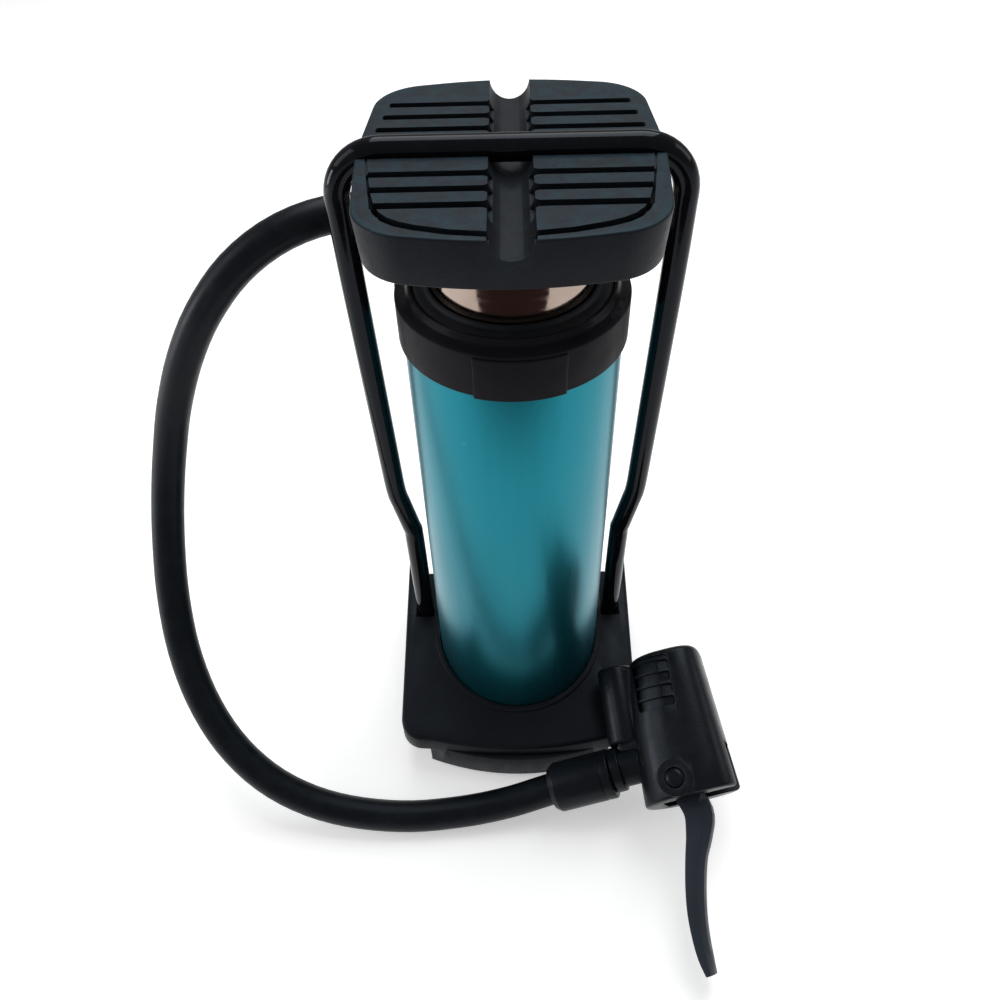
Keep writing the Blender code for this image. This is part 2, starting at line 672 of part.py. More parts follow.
def head_body(frame):
    """The valve head's housing: a lever fork, the port bore at the other end and a second port beside it."""
    sections = []
    for y, inset in ((-0.8, 0.9), (0.1, 0), (20, 0), (HEAD_LENGTH - 1.2, 0), (HEAD_LENGTH, 1.2)):
        share = max(y, 0) / HEAD_LENGTH
        left = HEAD_LEFT + (HEAD_PORT_LEFT - HEAD_LEFT) * max(share * 1.87 - 0.87, 0)
        right = HEAD_RIGHT + (HEAD_PORT_RIGHT - HEAD_RIGHT) * share
        slope = HEAD_END_SLOPE if y < 20 else 0
        depth = HEAD_HALF_DEPTH - inset - 0.8 * share
        sections.append(squircle(left - inset, right - inset, depth, y, slope))
    body = loft("head_body", sections, head_plastic(), frame)
    x = SECOND_PORT_X
    second = rod("second_port_form", SECOND_PORT_RADIUS, (x, 17.5, 0), (x, 41.5, 0), sides=24, parent=frame)
    web = box("web_form", (-17.8, 16.0, -4.7), (-8, 40, 4.7), parent=frame)
    boss = rod("pin_boss_form", 5.5, (PIN_X, PIN_Y, -12.2), (PIN_X, PIN_Y, 12.2), sides=28, parent=frame)
    join(body, second, web, boss)
    gap = FORK_HALF_GAP
    cut(body, box("fork_cut", (-7.5, -6, -gap), (20, FORK_END, gap), parent=frame))
    cut(body, rod("port_cut", PORT_BORE, (0, 12, 0), (0, 50, 0), sides=28, parent=frame))
    cut(body, rod("second_port_cut", 2.7, (x, 33, 0), (x, 50, 0), sides=16, parent=frame))
    pin_low, pin_high = (PIN_X, PIN_Y, -20), (PIN_X, PIN_Y, 20)
    cut(body, rod("pin_cut", PIN_RADIUS + GAP, pin_low, pin_high, parent=frame))
    cut(body, rod("neck_cut", 3.3, neck_point(20), neck_point(8.5), parent=frame))
    for i in range(4):
        y = 26.4 + 3.75 * i
        cut(body, box(f"rib_cut_{i}", (-9.0, y - 1.1, 8.9), (2.6, y + 1.1, 20), parent=frame))
    return body


def neck_point(reach):
    """A point on the neck's line, that far from the head's middle."""
    return (-reach * math.cos(NECK_TURN), NECK_Y - reach * math.sin(NECK_TURN), 0)


def along_neck():
    """Turns a body about Z into one about the neck's line."""
    turn = Matrix.Rotation(NECK_TURN, 4, "Z") @ Matrix.Rotation(math.radians(-90), 4, "Y")
    return Matrix.Translation((0, NECK_Y, 0)) @ turn


def port_nut(frame):
    """The screwed ring that holds the gasket in the port."""
    inner, outer, low, high = 4.3, PORT_BORE - GAP, 34.3, HEAD_LENGTH - 0.2
    profile = ((inner, low), (outer, low), (outer, high), (inner + 0.5, high), (inner, high - 0.5))
    return turned("port_nut", profile, collar_plastic(), 28, along_head(), frame)


def along_head():
    """Turns a body about Z into one about the head's Y."""
    return Matrix.Rotation(math.radians(-90), 4, "X")


def port_gasket(frame):
    profile = ((2.7, 24.4), (PORT_BORE - GAP, 24.4), (PORT_BORE - GAP, 34.0), (2.7, 34.0))
    return turned("port_gasket", profile, seal_rubber(), 24, along_head(), frame)


def cam_follower(frame):
    profile = ((0, 14.0), (4.6, 14.0), (5.7, 15.2), (5.7, 24.1), (0, 24.1))
    return turned("cam_follower", profile, base_plastic(), 24, along_head(), frame)


def neck_barb(frame):
    """The swivel neck between the head and the hose."""
    profile = (
        (0, 9.4), (3.0, 9.4), (3.0, 14.2), (4.9, 14.2), (4.9, 18.4), (6.3, 18.8), (6.3, 20.9),
        (5.2, 21.5), (0, 21.5),
    )
    return turned("neck_barb", profile, head_plastic(), 24, along_neck(), frame)


def head_ferrule(frame):
    """The sleeve over the hose's end, a blind cup closed at the neck."""
    start, end, bore, wide = FERRULE_START, FERRULE_END, HOSE_RADIUS + GAP, FERRULE_RADIUS
    profile = (
        (0, start), (wide - 0.8, start), (wide, start + 0.8), (wide, end - 1.6), (wide - 1.2, end),
        (bore, end), (bore, 26.0), (0, 26.0),
    )
    return turned("head_ferrule", profile, head_plastic(), 28, along_neck(), frame)


def lever_pin(frame):
    low, high = (PIN_X, PIN_Y, -12.4), (PIN_X, PIN_Y, 12.7)
    return rod("lever_pin", PIN_RADIUS, low, high, bright_steel(), SMALL, frame)


def lever(frame):
    """The thumb lever: a hub on the pin and a blade that curves along its length."""
    middle = (
        (-1.2, 2.5, 3.8), (1.8, -4.5, 4.0), (0.6, -11.0, 3.3), (-1.3, -16.5, 2.7), (-3.0, -23.7, 2.5),
        (-4.1, -31.0, 2.3), (-4.3, -37.7, 2.0), (-4.0, -42.5, 1.7), (-3.4, -46.5, 1.1),
    )
    right, left = [], []
    for i, (x, y, half) in enumerate(middle):
        before, after = middle[max(i - 1, 0)], middle[min(i + 1, len(middle) - 1)]
        run = Vector((after[0] - before[0], after[1] - before[1])).normalized()
        right.append((x - run.y * half, y + run.x * half))
        left.append((x + run.y * half, y - run.x * half))
    outline = right + left[::-1]
    half = LEVER_HALF_DEPTH
    pin = (PIN_X, PIN_Y, 0)
    blade = prism("lever", outline, -half, half, material("lever_plastic", SLATE, 0.45), frame, pin)
    soften(blade, 0.6, 1)
    low, high = (PIN_X, PIN_Y, -half + 0.02), (PIN_X, PIN_Y, half - 0.02)
    hub = rod("hub_form", 4.2, low, high, sides=28, parent=frame)
    nose = rod("cam_form", 2.6, (-1.6, 6.6, -half + 0.05), (-1.6, 6.6, half - 0.05), sides=20, parent=frame)
    join(blade, hub, nose)
    low, high = (PIN_X, PIN_Y, -20), (PIN_X, PIN_Y, 20)
    cut(blade, rod("lever_pin_cut", PIN_RADIUS + GAP, low, high, parent=frame))
    return blade


def build():
    clear_scene()
    base_body()
    sole_pad()
    base_screws()
    barrel_tube()
    barrel_plug()
    ring("barrel_oring", 23.0, 0.7, 16.6, seal_rubber())
    outlet_valve()
    outlet_elbow()
    outlet_ferrule()
    collar_cap()
    guide_bush()
    wiper_ring()
    spring_guide()
    plunger_tube()
    piston_head()
    piston_seal()
    tube_cap()
    pedal_screw()
    return_spring()
    pedal()
    bail_wire()
    air_hose()
    frame = head_frame()
    head_body(frame)
    port_nut(frame)
    port_gasket(frame)
    cam_follower(frame)
    neck_barb(frame)
    head_ferrule(frame)
    lever_pin(frame)
    lever(frame)


build()
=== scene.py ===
"""Looks for the foot air pump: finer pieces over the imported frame, materials, soft light and the camera.

Lengths below are millimetres and become metres where a mesh is made. The valve head is drawn in its own
frame, as in the part: +X across it, +Y along its body to the valve port and +Z along the lever's pin.
"""

import json
import math

import bmesh
import bpy
from mathutils import Matrix, Vector


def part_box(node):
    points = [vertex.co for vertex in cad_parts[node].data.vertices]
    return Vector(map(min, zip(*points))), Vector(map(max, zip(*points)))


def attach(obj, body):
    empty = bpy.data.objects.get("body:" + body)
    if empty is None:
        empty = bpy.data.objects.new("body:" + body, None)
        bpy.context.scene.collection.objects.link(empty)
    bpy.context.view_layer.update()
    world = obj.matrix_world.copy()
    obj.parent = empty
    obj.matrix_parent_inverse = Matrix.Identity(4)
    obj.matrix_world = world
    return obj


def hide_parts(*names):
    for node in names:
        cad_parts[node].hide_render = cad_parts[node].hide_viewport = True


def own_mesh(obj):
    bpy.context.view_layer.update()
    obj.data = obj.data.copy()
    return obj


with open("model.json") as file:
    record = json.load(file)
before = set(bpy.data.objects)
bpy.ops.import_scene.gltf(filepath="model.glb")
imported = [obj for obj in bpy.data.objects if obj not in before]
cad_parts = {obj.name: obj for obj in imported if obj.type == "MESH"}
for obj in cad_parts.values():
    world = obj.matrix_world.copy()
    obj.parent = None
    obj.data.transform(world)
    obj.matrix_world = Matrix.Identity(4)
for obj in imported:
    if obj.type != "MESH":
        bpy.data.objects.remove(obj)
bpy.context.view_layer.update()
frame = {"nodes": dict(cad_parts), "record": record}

MM = 0.001
GAP = 0.3  # between pieces that touch

# Sides of the round pieces, from the barrel down to a screw's hole.
FINE = 160
LARGE = 96
ROUND = 72
MEDIUM = 64
SMALL = 48
TINY = 24


def levels(node):
    """A CAD node's lowest and highest level, in millimetres."""
    low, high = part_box(node)
    return low.z / MM, high.z / MM


# Barrel, and the collar with its wiper on the barrel's mouth.
BARREL_FOOT, BARREL_TOP = levels("barrel_tube")
BARREL_RADIUS = 26.0
BORE_RADIUS = 24.0
COLLAR_BOTTOM = 149.6
COLLAR_BAND = 160.7  # top of the band, where the dished ring begins
COLLAR_RIM = levels("collar_cap")[1]
COLLAR_RADIUS = 27.1
BARREL_FIT = BARREL_RADIUS + GAP  # inside of what goes over the barrel
GRIPS = 3
GRIP_RADIUS = 27.6
GRIP_ROOT = 26.45
GRIP_HALF_SPAN = math.radians(22.0)
GRIP_START = -87  # degrees, the middle of the first land
MOUTH_RADIUS = 23.2
WIPER_SEAT, WIPER_TOP = levels("wiper_ring")

# Plunger and its return spring.
TUBE_FOOT, TUBE_TOP = levels("plunger_tube")
TUBE_RADIUS = 19.0
TUBE_WALL = 1.2
SPRING_LOW = 22.5
SPRING_HIGH = 176.2
SPRING_RADIUS = 15.5
SPRING_WIRE_RADIUS = 1.1
SPRING_TURNS = 12
SPRING_DRIFT = 0.02  # rise of each turn on top of the pitch, which parts the closed end turns

# Pedal. Its outline bulges a little between the corners.
PEDAL_BOTTOM, PEDAL_TOP = levels("pedal")
PEDAL_SIDE = 31.6
PEDAL_END = 36.9
PEDAL_CORNER = (29.5, 31.6)
PEDAL_FILLET = 12
SIDE_FILLET = 60
END_FILLET = 90
PEDAL_TAPER = ((PEDAL_BOTTOM, 0.975), (187.0, 0.9865), (PEDAL_TOP, 1.0))  # level, share of the outline
ABOVE_PEDAL = 198.0
HOSE_CHANNEL_RADIUS = 4.5
HOSE_CHANNEL_Z = 192.9
BAR_GROOVE_RADIUS = 3.2
SLOTS = 3
FIRST_SLOT = 9.95
SLOT_PITCH = 6.15
SLOT_HALF_WIDTH = 1.15
SLOT_FLOOR = 190.1
SLOT_REACH = 28.3  # of the first slot; each next one is shorter
SLOT_SHORTER = 0.95
SLOT_MOUTH = 4.3
SLOT_FLARE = 1.3
PANEL_EDGE = (
    (29.3, 2.5), (28.75, 6.5), (28.3, 9.95), (27.4, 16.1), (26.4, 22.25), (25.5, 25.0), (23.9, 27.6),
    (21.4, 29.6), (17.9, 31.1), (11.5, 32.9), (4.4, 33.9), (0.0, 34.1),
)
BESIDE_SLATS = 4  # points of that edge where the seam is narrow and shallow
SEAM_WIDTH = 0.5
SEAM_WIDEST = 1.9
SEAM_FLOOR_BESIDE_SLATS = 192.35
SEAM_FLOOR = 191.1

# Wire bail: a bar, two round corners, two cranked legs and two feet bent out into the base.
WIRE_RADIUS = 2.85
BAR_Z = 193.1
BAR_HALF = 36.7
BAR_CORNER = 10.5
PIVOT_Y = 8.0
PIVOT_Z = 18.0
FOOT_END = 37.7
FOOT_BEND = 3.0
BAIL_LEG = (
    (31.5, 22.0), (31.5, 68.5), (31.9, 73.0), (34.2, 85.5), (34.8, 90.0), (35.2, 104.0), (36.5, 160.0),
    (36.7, 182.0),
)

# Base: its top slopes down to the front, and its front edges bow forward.
BASE_UNDERSIDE = levels("base_body")[0]
BASE_HALF_WIDTH = 38.0
BASE_REAR = 36.7
BASE_CORNER_Y = -35.8
BASE_BOW = (28.0, -36.0, -39.0)  # half width, y at its ends, y at its middle
FLANGE_UNDERSIDE = 9.5
TOP_AT_AXIS = 26.0
TOP_SLOPE = math.tan(math.radians(14.0))
PLINTH_HALF_WIDTH = 37.6
PLINTH_REAR = 36.3
PLINTH_TOP = 11.5
PLINTH_BOW = (29.0, -35.0, -40.6)
HEEL_FRONT = -8.0
LIP_RADIUS = 28.0
LIP_HEIGHT = 0.9
SOCKET_FLOOR = 12.0
WIRE_CHANNEL = (28.4, 34.7)
WIRE_CHANNEL_FRONT = 4.6
WIRE_CHANNEL_FLOOR = 10.5
PIVOT_HOLE_RADIUS = 3.2
CHAMBER_Y = 18.0
CHAMBER_RADIUS = 4.5
ABOVE_BASE = 60.0
BEHIND_BASE = 45.0

# Outlet behind the base.
OUTLET_Y = 46.0
OUTLET_Z = 8.0
SPIGOT_RADIUS = 4.0
SPIGOT_RIM_RADIUS = 6.4
OUTLET_TOP = levels("outlet_elbow")[1]
SLEEVE_FOOT, SLEEVE_TOP = levels("outlet_ferrule")
SLEEVE_RADIUS = 6.3
SLEEVE_BORE = 5.05
CRIMPS = 4
CRIMP_PITCH = 4.0
CRIMP_DEPTH = 0.4

# Hose: the points of its route, as in the part.
HOSE_DIAMETER = 9.5
HOSE_STEP = 4.0
HOSE_ROUTE = (
    (0, 46, 24), (0, 46, 40), (0.1, 45.8, 54.7), (0.3, 45.3, 70.7), (0.4, 44.8, 84.8),
    (-0.1, 44.2, 99.6), (-2.2, 43.1, 120), (-7.5, 41.4, 137.3), (-16.7, 38.8, 150.8),
    (-29.3, 35.2, 159.5), (-43.2, 30.9, 162.8), (-56.9, 25.9, 160.9), (-69.4, 21.8, 153.9),
    (-80.3, 19.3, 142.2), (-89.2, 18.3, 127.9), (-96.3, 17.2, 112.5), (-100.8, 14.7, 99.2),
    (-104.2, 9.8, 85.7), (-106, 2.1, 72.3), (-105.9, -8.5, 58.7), (-103.2, -20.4, 45.6),
    (-97.8, -31.2, 34.1), (-89.8, -40.5, 24.4), (-79.2, -47.8, 16.4), (-66.6, -52.6, 10.6),
    (-52.3, -55.2, 6.9), (-35.1, -56, 5.1), (-18, -54.8, 5.6), (-3.5, -52.9, 7.8), (10.2, -50.5, 11.9),
    (24.2, -49.3, 17.1),
)

# Valve head, in its own frame but for the place and the directions of that frame.
HEAD_ORIGIN = (50.1, -58.5, 22.8)
HEAD_ALONG = (-0.103, 0.951, 0.292)
HEAD_ACROSS = (0.9454, 0.0023, 0.3258)
HEAD_LENGTH = 43.0
HEAD_LEFT = 13.4
HEAD_RIGHT = 14.8
HEAD_PORT_LEFT = 10.9
HEAD_PORT_RIGHT = 11.4
HEAD_HALF_DEPTH = 11.8
HEAD_DEPTH_TAPER = 0.8
LEVER_END = -0.8
LEVER_END_FILLET = 0.9
LEVER_END_SLOPE = 0.085  # of the lever's end across the head
SLOPE_START, SLOPE_FADE = 2.0, 14.0  # where that slope begins to fade along the head, and over what length
PORT_END_FILLET = 2.0
PORT_LEAN = 0.06
PORT_LEAN_START = 33.0
RIGHT_POWER, LEFT_POWER = 0.6, 0.95  # of the head's section: 1 is an ellipse, less is squarer
SECTION_SIDES = 112
FORK_LOW = (-7.5, -8, -5.2)
FORK_HIGH = (22, 13.3, 5.2)
PIN = (-1.8, 4.3)
PIN_RADIUS = 2.1
PIN_HEAD_RADIUS = 2.6
PIN_HOLE_RADIUS = PIN_RADIUS + GAP
PIN_SEAT_RADIUS = 3.0
PIN_SIDES = 40
BOSS_RADIUS = 5.2
BOSS_HALF = 12.2
PORT_BORE = 6.0
PORT_X = (-15.7, 0)
SECOND_BARREL_RADIUS = 5.8
SECOND_BARREL = (17.5, 41.5)
SECOND_PORT_RADIUS = 2.7
WEB_LOW = (-17.8, 15.0, -8.6)
WEB_HIGH = (-8, 40, 4.7)
POCKET_LOW = (-9.2, 24.5)
POCKET_HIGH = (2.6, 40.6)
POCKET_DEPTH = 0.45
PITS = 4
FIRST_PIT = 26.4
PIT_PITCH = 3.75
PIT_HALF_WIDTH = 1.5
PIT_DEPTH = 1.3
THROUGH = 20.0  # beyond either side of the head

# Swivel neck, the sleeve on the hose, and the ring in the port.
NECK_Y = 12.0  # where the neck's line meets the head's middle
NECK_TURN = math.radians(4.8)
NECK_RAISED = 0.6
NECK_START, NECK_END = 9.4, 21.7
FERRULE_START, FERRULE_END = 21.8, 41.4
FERRULE_RADIUS = 7.4
FERRULE_BORE = 5.05
NUT_START, NUT_END = 34.3, 41.4
NUT_RADIUS = 5.7
NUT_BORE = 4.3

# Lever: the middle line of its blade as (x, y, half width).
LEVER_MIDDLE = (
    (-1.2, 2.5, 3.8), (1.8, -4.5, 4.0), (0.6, -11.0, 3.3), (-1.3, -16.5, 2.7), (-3.0, -23.7, 2.5),
    (-4.1, -31.0, 2.3), (-4.3, -37.7, 2.0), (-4.0, -42.5, 1.7), (-3.4, -46.5, 1.1),
)
LEVER_STEP = 1.5
UNBEVELLED = 4  # points at the blade's root that keep their full width
# Levels across the blade, and the share of its right side's width at each: the bevel.
LEVER_LEVELS = ((-4.8, 0.25), (-3.2, 1.0), (2.4, 1.0), (4.8, 0.25))
HUB_RADIUS, HUB_HALF = 4.2, 4.78
NOSE_AT = (-1.6, 6.6)
NOSE_RADIUS, NOSE_HALF = 2.6, 4.7


# ---------------------------------------------------------------- mesh tools


def quarter(steps):
    """Angles from 0 to 90 degrees."""
    return [math.radians(90 * k / steps) for k in range(steps + 1)]


def from_bmesh(name, bm, place=None, sharp=35):
    """A piece from a mesh in millimetres, smooth but for the edges sharper than that angle."""
    bmesh.ops.recalc_face_normals(bm, faces=bm.faces)
    bmesh.ops.scale(bm, verts=bm.verts, vec=(MM, MM, MM))
    if place:
        bmesh.ops.transform(bm, matrix=place, verts=bm.verts)
    mesh = bpy.data.meshes.new(name)
    bm.to_mesh(mesh)
    bm.free()
    mesh.shade_smooth()
    mesh.set_sharp_from_angle(angle=math.radians(sharp))
    obj = bpy.data.objects.new(name, mesh)
    bpy.context.scene.collection.objects.link(obj)
    return obj


def head_place():
    """The valve head's frame as a matrix, in metres."""
    along = Vector(HEAD_ALONG).normalized()
    across = Vector(HEAD_ACROSS)
    across = (across - along * across.dot(along)).normalized()
    up = across.cross(along)
    turn = Matrix((across, along, up)).transposed().to_4x4()
    return Matrix.Translation(Vector(HEAD_ORIGIN) * MM) @ turn


def turned_mesh(name, profile, sides=FINE, spin=None, place=None):
    """Turned about Z from (radius, height) points; a ring unless its ends lie on the axis."""
    bm = bmesh.new()
    rings = []
    for radius, height in profile:
        if radius == 0:
            rings.append([bm.verts.new((0, 0, height))] * sides)
            continue
        turn = [2 * math.pi * i / sides for i in range(sides)]
        rings.append([bm.verts.new((radius * math.cos(a), radius * math.sin(a), height)) for a in turn])
    pairs = list(zip(rings, rings[1:]))
    if profile[0][0] > 0:
        pairs.append((rings[-1], rings[0]))
    for low, high in pairs:
        for i in range(sides):
            corners = (low[i - 1], low[i], high[i], high[i - 1])
            bm.faces.new(list(dict.fromkeys(corners)))
    if spin:
        bmesh.ops.transform(bm, matrix=spin, verts=bm.verts)
    return from_bmesh(name, bm, place)


def fillet(corners, steps=4):
    """A closed outline from (x, y, fillet radius) corners, with its fillets as arcs."""
    out = []
    count = len(corners)
    for i, (x, y, size) in enumerate(corners):
        if size == 0:
            out.append((x, y))
            continue
        here = Vector((x, y))
        before = Vector(corners[i - 1][:2]) - here
        after = Vector(corners[(i + 1) % count][:2]) - here
        half = before.angle(after) / 2
        reach = size / math.tan(half)
        before.normalize()
        after.normalize()
        middle = here + (before + after).normalized() * size / math.sin(half)
        start, end = here + before * reach - middle, here + after * reach - middle
        for k in range(steps + 1):
            spoke = start.lerp(end, k / steps).normalized() * size
            out.append(tuple(middle + spoke))
    return out


def loft_mesh(name, sections, place=None):
    """A closed skin through sections that have the same number of points."""
    bm = bmesh.new()
    rings = [[bm.verts.new(p) for p in section] for section in sections]
    for low, high in zip(rings, rings[1:]):
        for i in range(len(low)):
            bm.faces.new((low[i - 1], low[i], high[i], high[i - 1]))
    bm.faces.new(rings[0])
    bm.faces.new(rings[-1])
    return from_bmesh(name, bm, place)


def prism_mesh(name, outline, low, high, place=None):
    """An outline carried straight up from one level to another."""
    return loft_mesh(name, [[(x, y, z) for x, y in outline] for z in (low, high)], place)


def rod_mesh(name, radius, start, end, sides=SMALL, place=None):
    """A plain round rod between two points."""
    axis = Vector(end) - Vector(start)
    spin = Matrix.Translation(start) @ axis.to_track_quat("Z", "Y").to_matrix().to_4x4()
    profile = ((0, 0), (radius, 0), (radius, axis.length), (0, axis.length))
    return turned_mesh(name, profile, sides, spin, place)


def box_mesh(name, low, high, place=None):
    (x0, y0, z0), (x1, y1, z1) = low, high
    return prism_mesh(name, ((x0, y0), (x1, y0), (x1, y1), (x0, y1)), z0, z1, place)


def bake(obj, sharp=35):
    """Applies the modifiers and removes the shapes that they used."""
    used = [m.object for m in obj.modifiers if m.type == "BOOLEAN"]
    bpy.context.view_layer.update()
    graph = bpy.context.evaluated_depsgraph_get()
    mesh = bpy.data.meshes.new_from_object(obj.evaluated_get(graph))
    obj.modifiers.clear()
    obj.data = mesh
    mesh.shade_smooth()
    mesh.set_sharp_from_angle(angle=math.radians(sharp))
    for tool in used:
        bpy.data.objects.remove(tool, do_unlink=True)
    return obj


def boolean(obj, tools, operation):
    for tool in tools:
        modifier = obj.modifiers.new(tool.name, "BOOLEAN")
        modifier.operation = operation
        modifier.solver = "EXACT"
        modifier.object = tool
        tool.hide_render = True


def cut(obj, *tools):
    boolean(obj, tools, "DIFFERENCE")


def join(obj, *tools):
    boolean(obj, tools, "UNION")


def round_edges(obj, width, segments=3, angle=40):
    modifier = obj.modifiers.new("round", "BEVEL")
    modifier.width = width * MM
    modifier.segments = segments
    modifier.limit_method = "ANGLE"
    modifier.angle_limit = math.radians(angle)
    return obj


def smooth_route(points, step):
    """Even points along a smooth curve through the given ones."""
    knots = [Vector(p) for p in points]
    knots = [2 * knots[0] - knots[1], *knots, 2 * knots[-1] - knots[-2]]
    fine = []
    for a, b, c, d in zip(knots, knots[1:], knots[2:], knots[3:]):
        for k in range(12):
            t = k / 12
            square = (2 * a - 5 * b + 4 * c - d) * t**2
            cube = (3 * b - a - 3 * c + d) * t**3
            fine.append(b + ((c - a) * t + square + cube) / 2)
    fine.append(knots[-2])
    length = sum((q - p).length for p, q in zip(fine, fine[1:]))
    count = round(length / step)
    even, walked, reached = [fine[0]], 0.0, 1
    for p, q in zip(fine, fine[1:]):
        span = (q - p).length
        while reached < count and walked + span >= reached * length / count:
            even.append(p.lerp(q, (reached * length / count - walked) / span))
            reached += 1
        walked += span
    return even + [fine[-1]]


def tube_curve(name, points, radius, resolution=10):
    """A round wire or hose along the points, as a curve."""
    curve = bpy.data.curves.new(name, "CURVE")
    curve.dimensions = "3D"
    curve.bevel_depth = radius * MM
    curve.bevel_resolution = resolution
    curve.use_fill_caps = True
    spline = curve.splines.new("POLY")
    spline.points.add(len(points) - 1)
    for spot, point in zip(spline.points, points):
        spot.co = (*(Vector(point) * MM), 1.0)
    spline.use_smooth = True
    obj = bpy.data.objects.new(name, curve)
    bpy.context.scene.collection.objects.link(obj)
    return obj


# ---------------------------------------------------------------- materials

SHALLOW = 0.0001  # metres, the depth of a bump
DEEP = 0.0002


def nodes_for(name, colour, roughness, metallic=0.0, specular=0.5):
    """A new material with its plain values, the node tree and the shader."""
    paint = bpy.data.materials.new(name)
    paint.use_nodes = True
    tree = paint.node_tree
    shader = tree.nodes["Principled BSDF"]
    shader.inputs["Base Color"].default_value = (*colour, 1)
    shader.inputs["Roughness"].default_value = roughness
    shader.inputs["Metallic"].default_value = metallic
    shader.inputs["Specular IOR Level"].default_value = specular
    if metallic == 0:
        shader.inputs["Specular Tint"].default_value = (0.78, 0.88, 1.0, 1)
    return paint, tree, shader


def noise(tree, scale, detail=3.0, rough=0.55, stretch=(1, 1, 1)):
    """Noise over the piece's own coordinates, which are metres."""
    where = tree.nodes.new("ShaderNodeTexCoord")
    mapping = tree.nodes.new("ShaderNodeMapping")
    mapping.inputs["Scale"].default_value = stretch
    tree.links.new(where.outputs["Object"], mapping.inputs["Vector"])
    texture = tree.nodes.new("ShaderNodeTexNoise")
    texture.inputs["Scale"].default_value = scale
    texture.inputs["Detail"].default_value = detail
    texture.inputs["Roughness"].default_value = rough
    tree.links.new(mapping.outputs["Vector"], texture.inputs["Vector"])
    return texture.outputs["Fac"]


def span(tree, value, low, high, to_low=0.0, to_high=1.0):
    """A value's range from low to high, mapped onto another one and held there."""
    node = tree.nodes.new("ShaderNodeMapRange")
    node.inputs["From Min"].default_value = low
    node.inputs["From Max"].default_value = high
    node.inputs["To Min"].default_value = to_low
    node.inputs["To Max"].default_value = to_high
    tree.links.new(value, node.inputs["Value"])
    return node.outputs["Result"]


def sum_of(tree, first, second, operation="ADD"):
    node = tree.nodes.new("ShaderNodeMath")
    node.operation = operation
    tree.links.new(first, node.inputs[0])
    tree.links.new(second, node.inputs[1])
    return node.outputs[0]


def mixed(tree, share, first, second):
    """Two colours, each a constant or another node's output, mixed by a share."""
    mix = tree.nodes.new("ShaderNodeMix")
    mix.data_type = "RGBA"
    for slot, colour in (("A", first), ("B", second)):
        if isinstance(colour, tuple):
            mix.inputs[slot].default_value = (*colour, 1)
        else:
            tree.links.new(colour, mix.inputs[slot])
    tree.links.new(share, mix.inputs["Factor"])
    return mix.outputs["Result"]


def bump(tree, shader, value, strength, depth):
    node = tree.nodes.new("ShaderNodeBump")
    node.inputs["Strength"].default_value = strength
    node.inputs["Distance"].default_value = depth
    tree.links.new(value, node.inputs["Height"])
    tree.links.new(node.outputs["Normal"], shader.inputs["Normal"])


def facing_up(tree, low, high):
    """Near 1 where the surface looks up."""
    shape = tree.nodes.new("ShaderNodeNewGeometry")
    split = tree.nodes.new("ShaderNodeSeparateXYZ")
    tree.links.new(shape.outputs["Normal"], split.inputs[0])
    return span(tree, split.outputs["Z"], low, high)


def on_edges(tree, low, high):
    """Near 1 on outer edges, broken up by noise: the lighter edges, partly wear and partly painted
    highlight.
    """
    shape = tree.nodes.new("ShaderNodeNewGeometry")
    edge_wear_and_highlight = span(tree, shape.outputs["Pointiness"], low, high)
    return sum_of(tree, edge_wear_and_highlight, span(tree, noise(tree, 350.0, 4.0), 0.35, 0.65), "MULTIPLY")


def height_of(tree, low, high, to_low=0.0, to_high=1.0):
    """Changes from to_low to to_high between two levels, in millimetres."""
    where = tree.nodes.new("ShaderNodeTexCoord")
    split = tree.nodes.new("ShaderNodeSeparateXYZ")
    tree.links.new(where.outputs["Object"], split.inputs[0])
    return span(tree, split.outputs["Z"], low * MM, high * MM, to_low, to_high)


def painted_tread_light(tree):
    """How much painted top light lies on the pedal's tread, speckled: none on its walls, little in its
    grooves.
    """
    speckle = span(tree, noise(tree, 1300.0, 3.0), 0.25, 0.6, 0.8, 1)
    level = height_of(tree, PEDAL_TOP - 0.6, PEDAL_TOP - 0.1, 0.05, 1)
    return sum_of(tree, sum_of(tree, facing_up(tree, 0.7, 0.97), level, "MULTIPLY"), speckle, "MULTIPLY")


def moulded(name, dark, light, gloss, grain, top=None, specular=0.14, edge_wear_and_highlight=None):
    """Moulded plastic: mottled colour, uneven gloss, fine spark-eroded grain and edges lightened by wear
    and painted highlight.

    gloss is its roughness and how far that varies; grain is the bump's strength and its noise's scale; top
    is the colour of the painted top light on the pedal's tread.
    """
    (rough, uneven), (depth, scale) = gloss, grain
    edge_wear_and_highlight = edge_wear_and_highlight or tuple(2.2 * c + 0.004 for c in light)
    paint, tree, shader = nodes_for(name, dark, rough, specular=specular)
    colour = mixed(tree, span(tree, noise(tree, 60.0, 4.0), 0.35, 0.7), dark, light)
    # Painted light: where the tread faces up it is painted lighter and bluer, as if lit from above.
    if top:
        colour = mixed(tree, painted_tread_light(tree), colour, top)
    # Lighter outer edges: partly handling wear, partly a painted edge highlight.
    colour = mixed(tree, on_edges(tree, 0.52, 0.6), colour, edge_wear_and_highlight)
    tree.links.new(colour, shader.inputs["Base Color"])
    smears = noise(tree, 190.0, 5.0, 0.65)
    tree.links.new(span(tree, smears, 0.3, 0.7, rough - uneven, rough + uneven), shader.inputs["Roughness"])
    bump(tree, shader, noise(tree, scale, 2.0), depth, DEEP)
    return paint


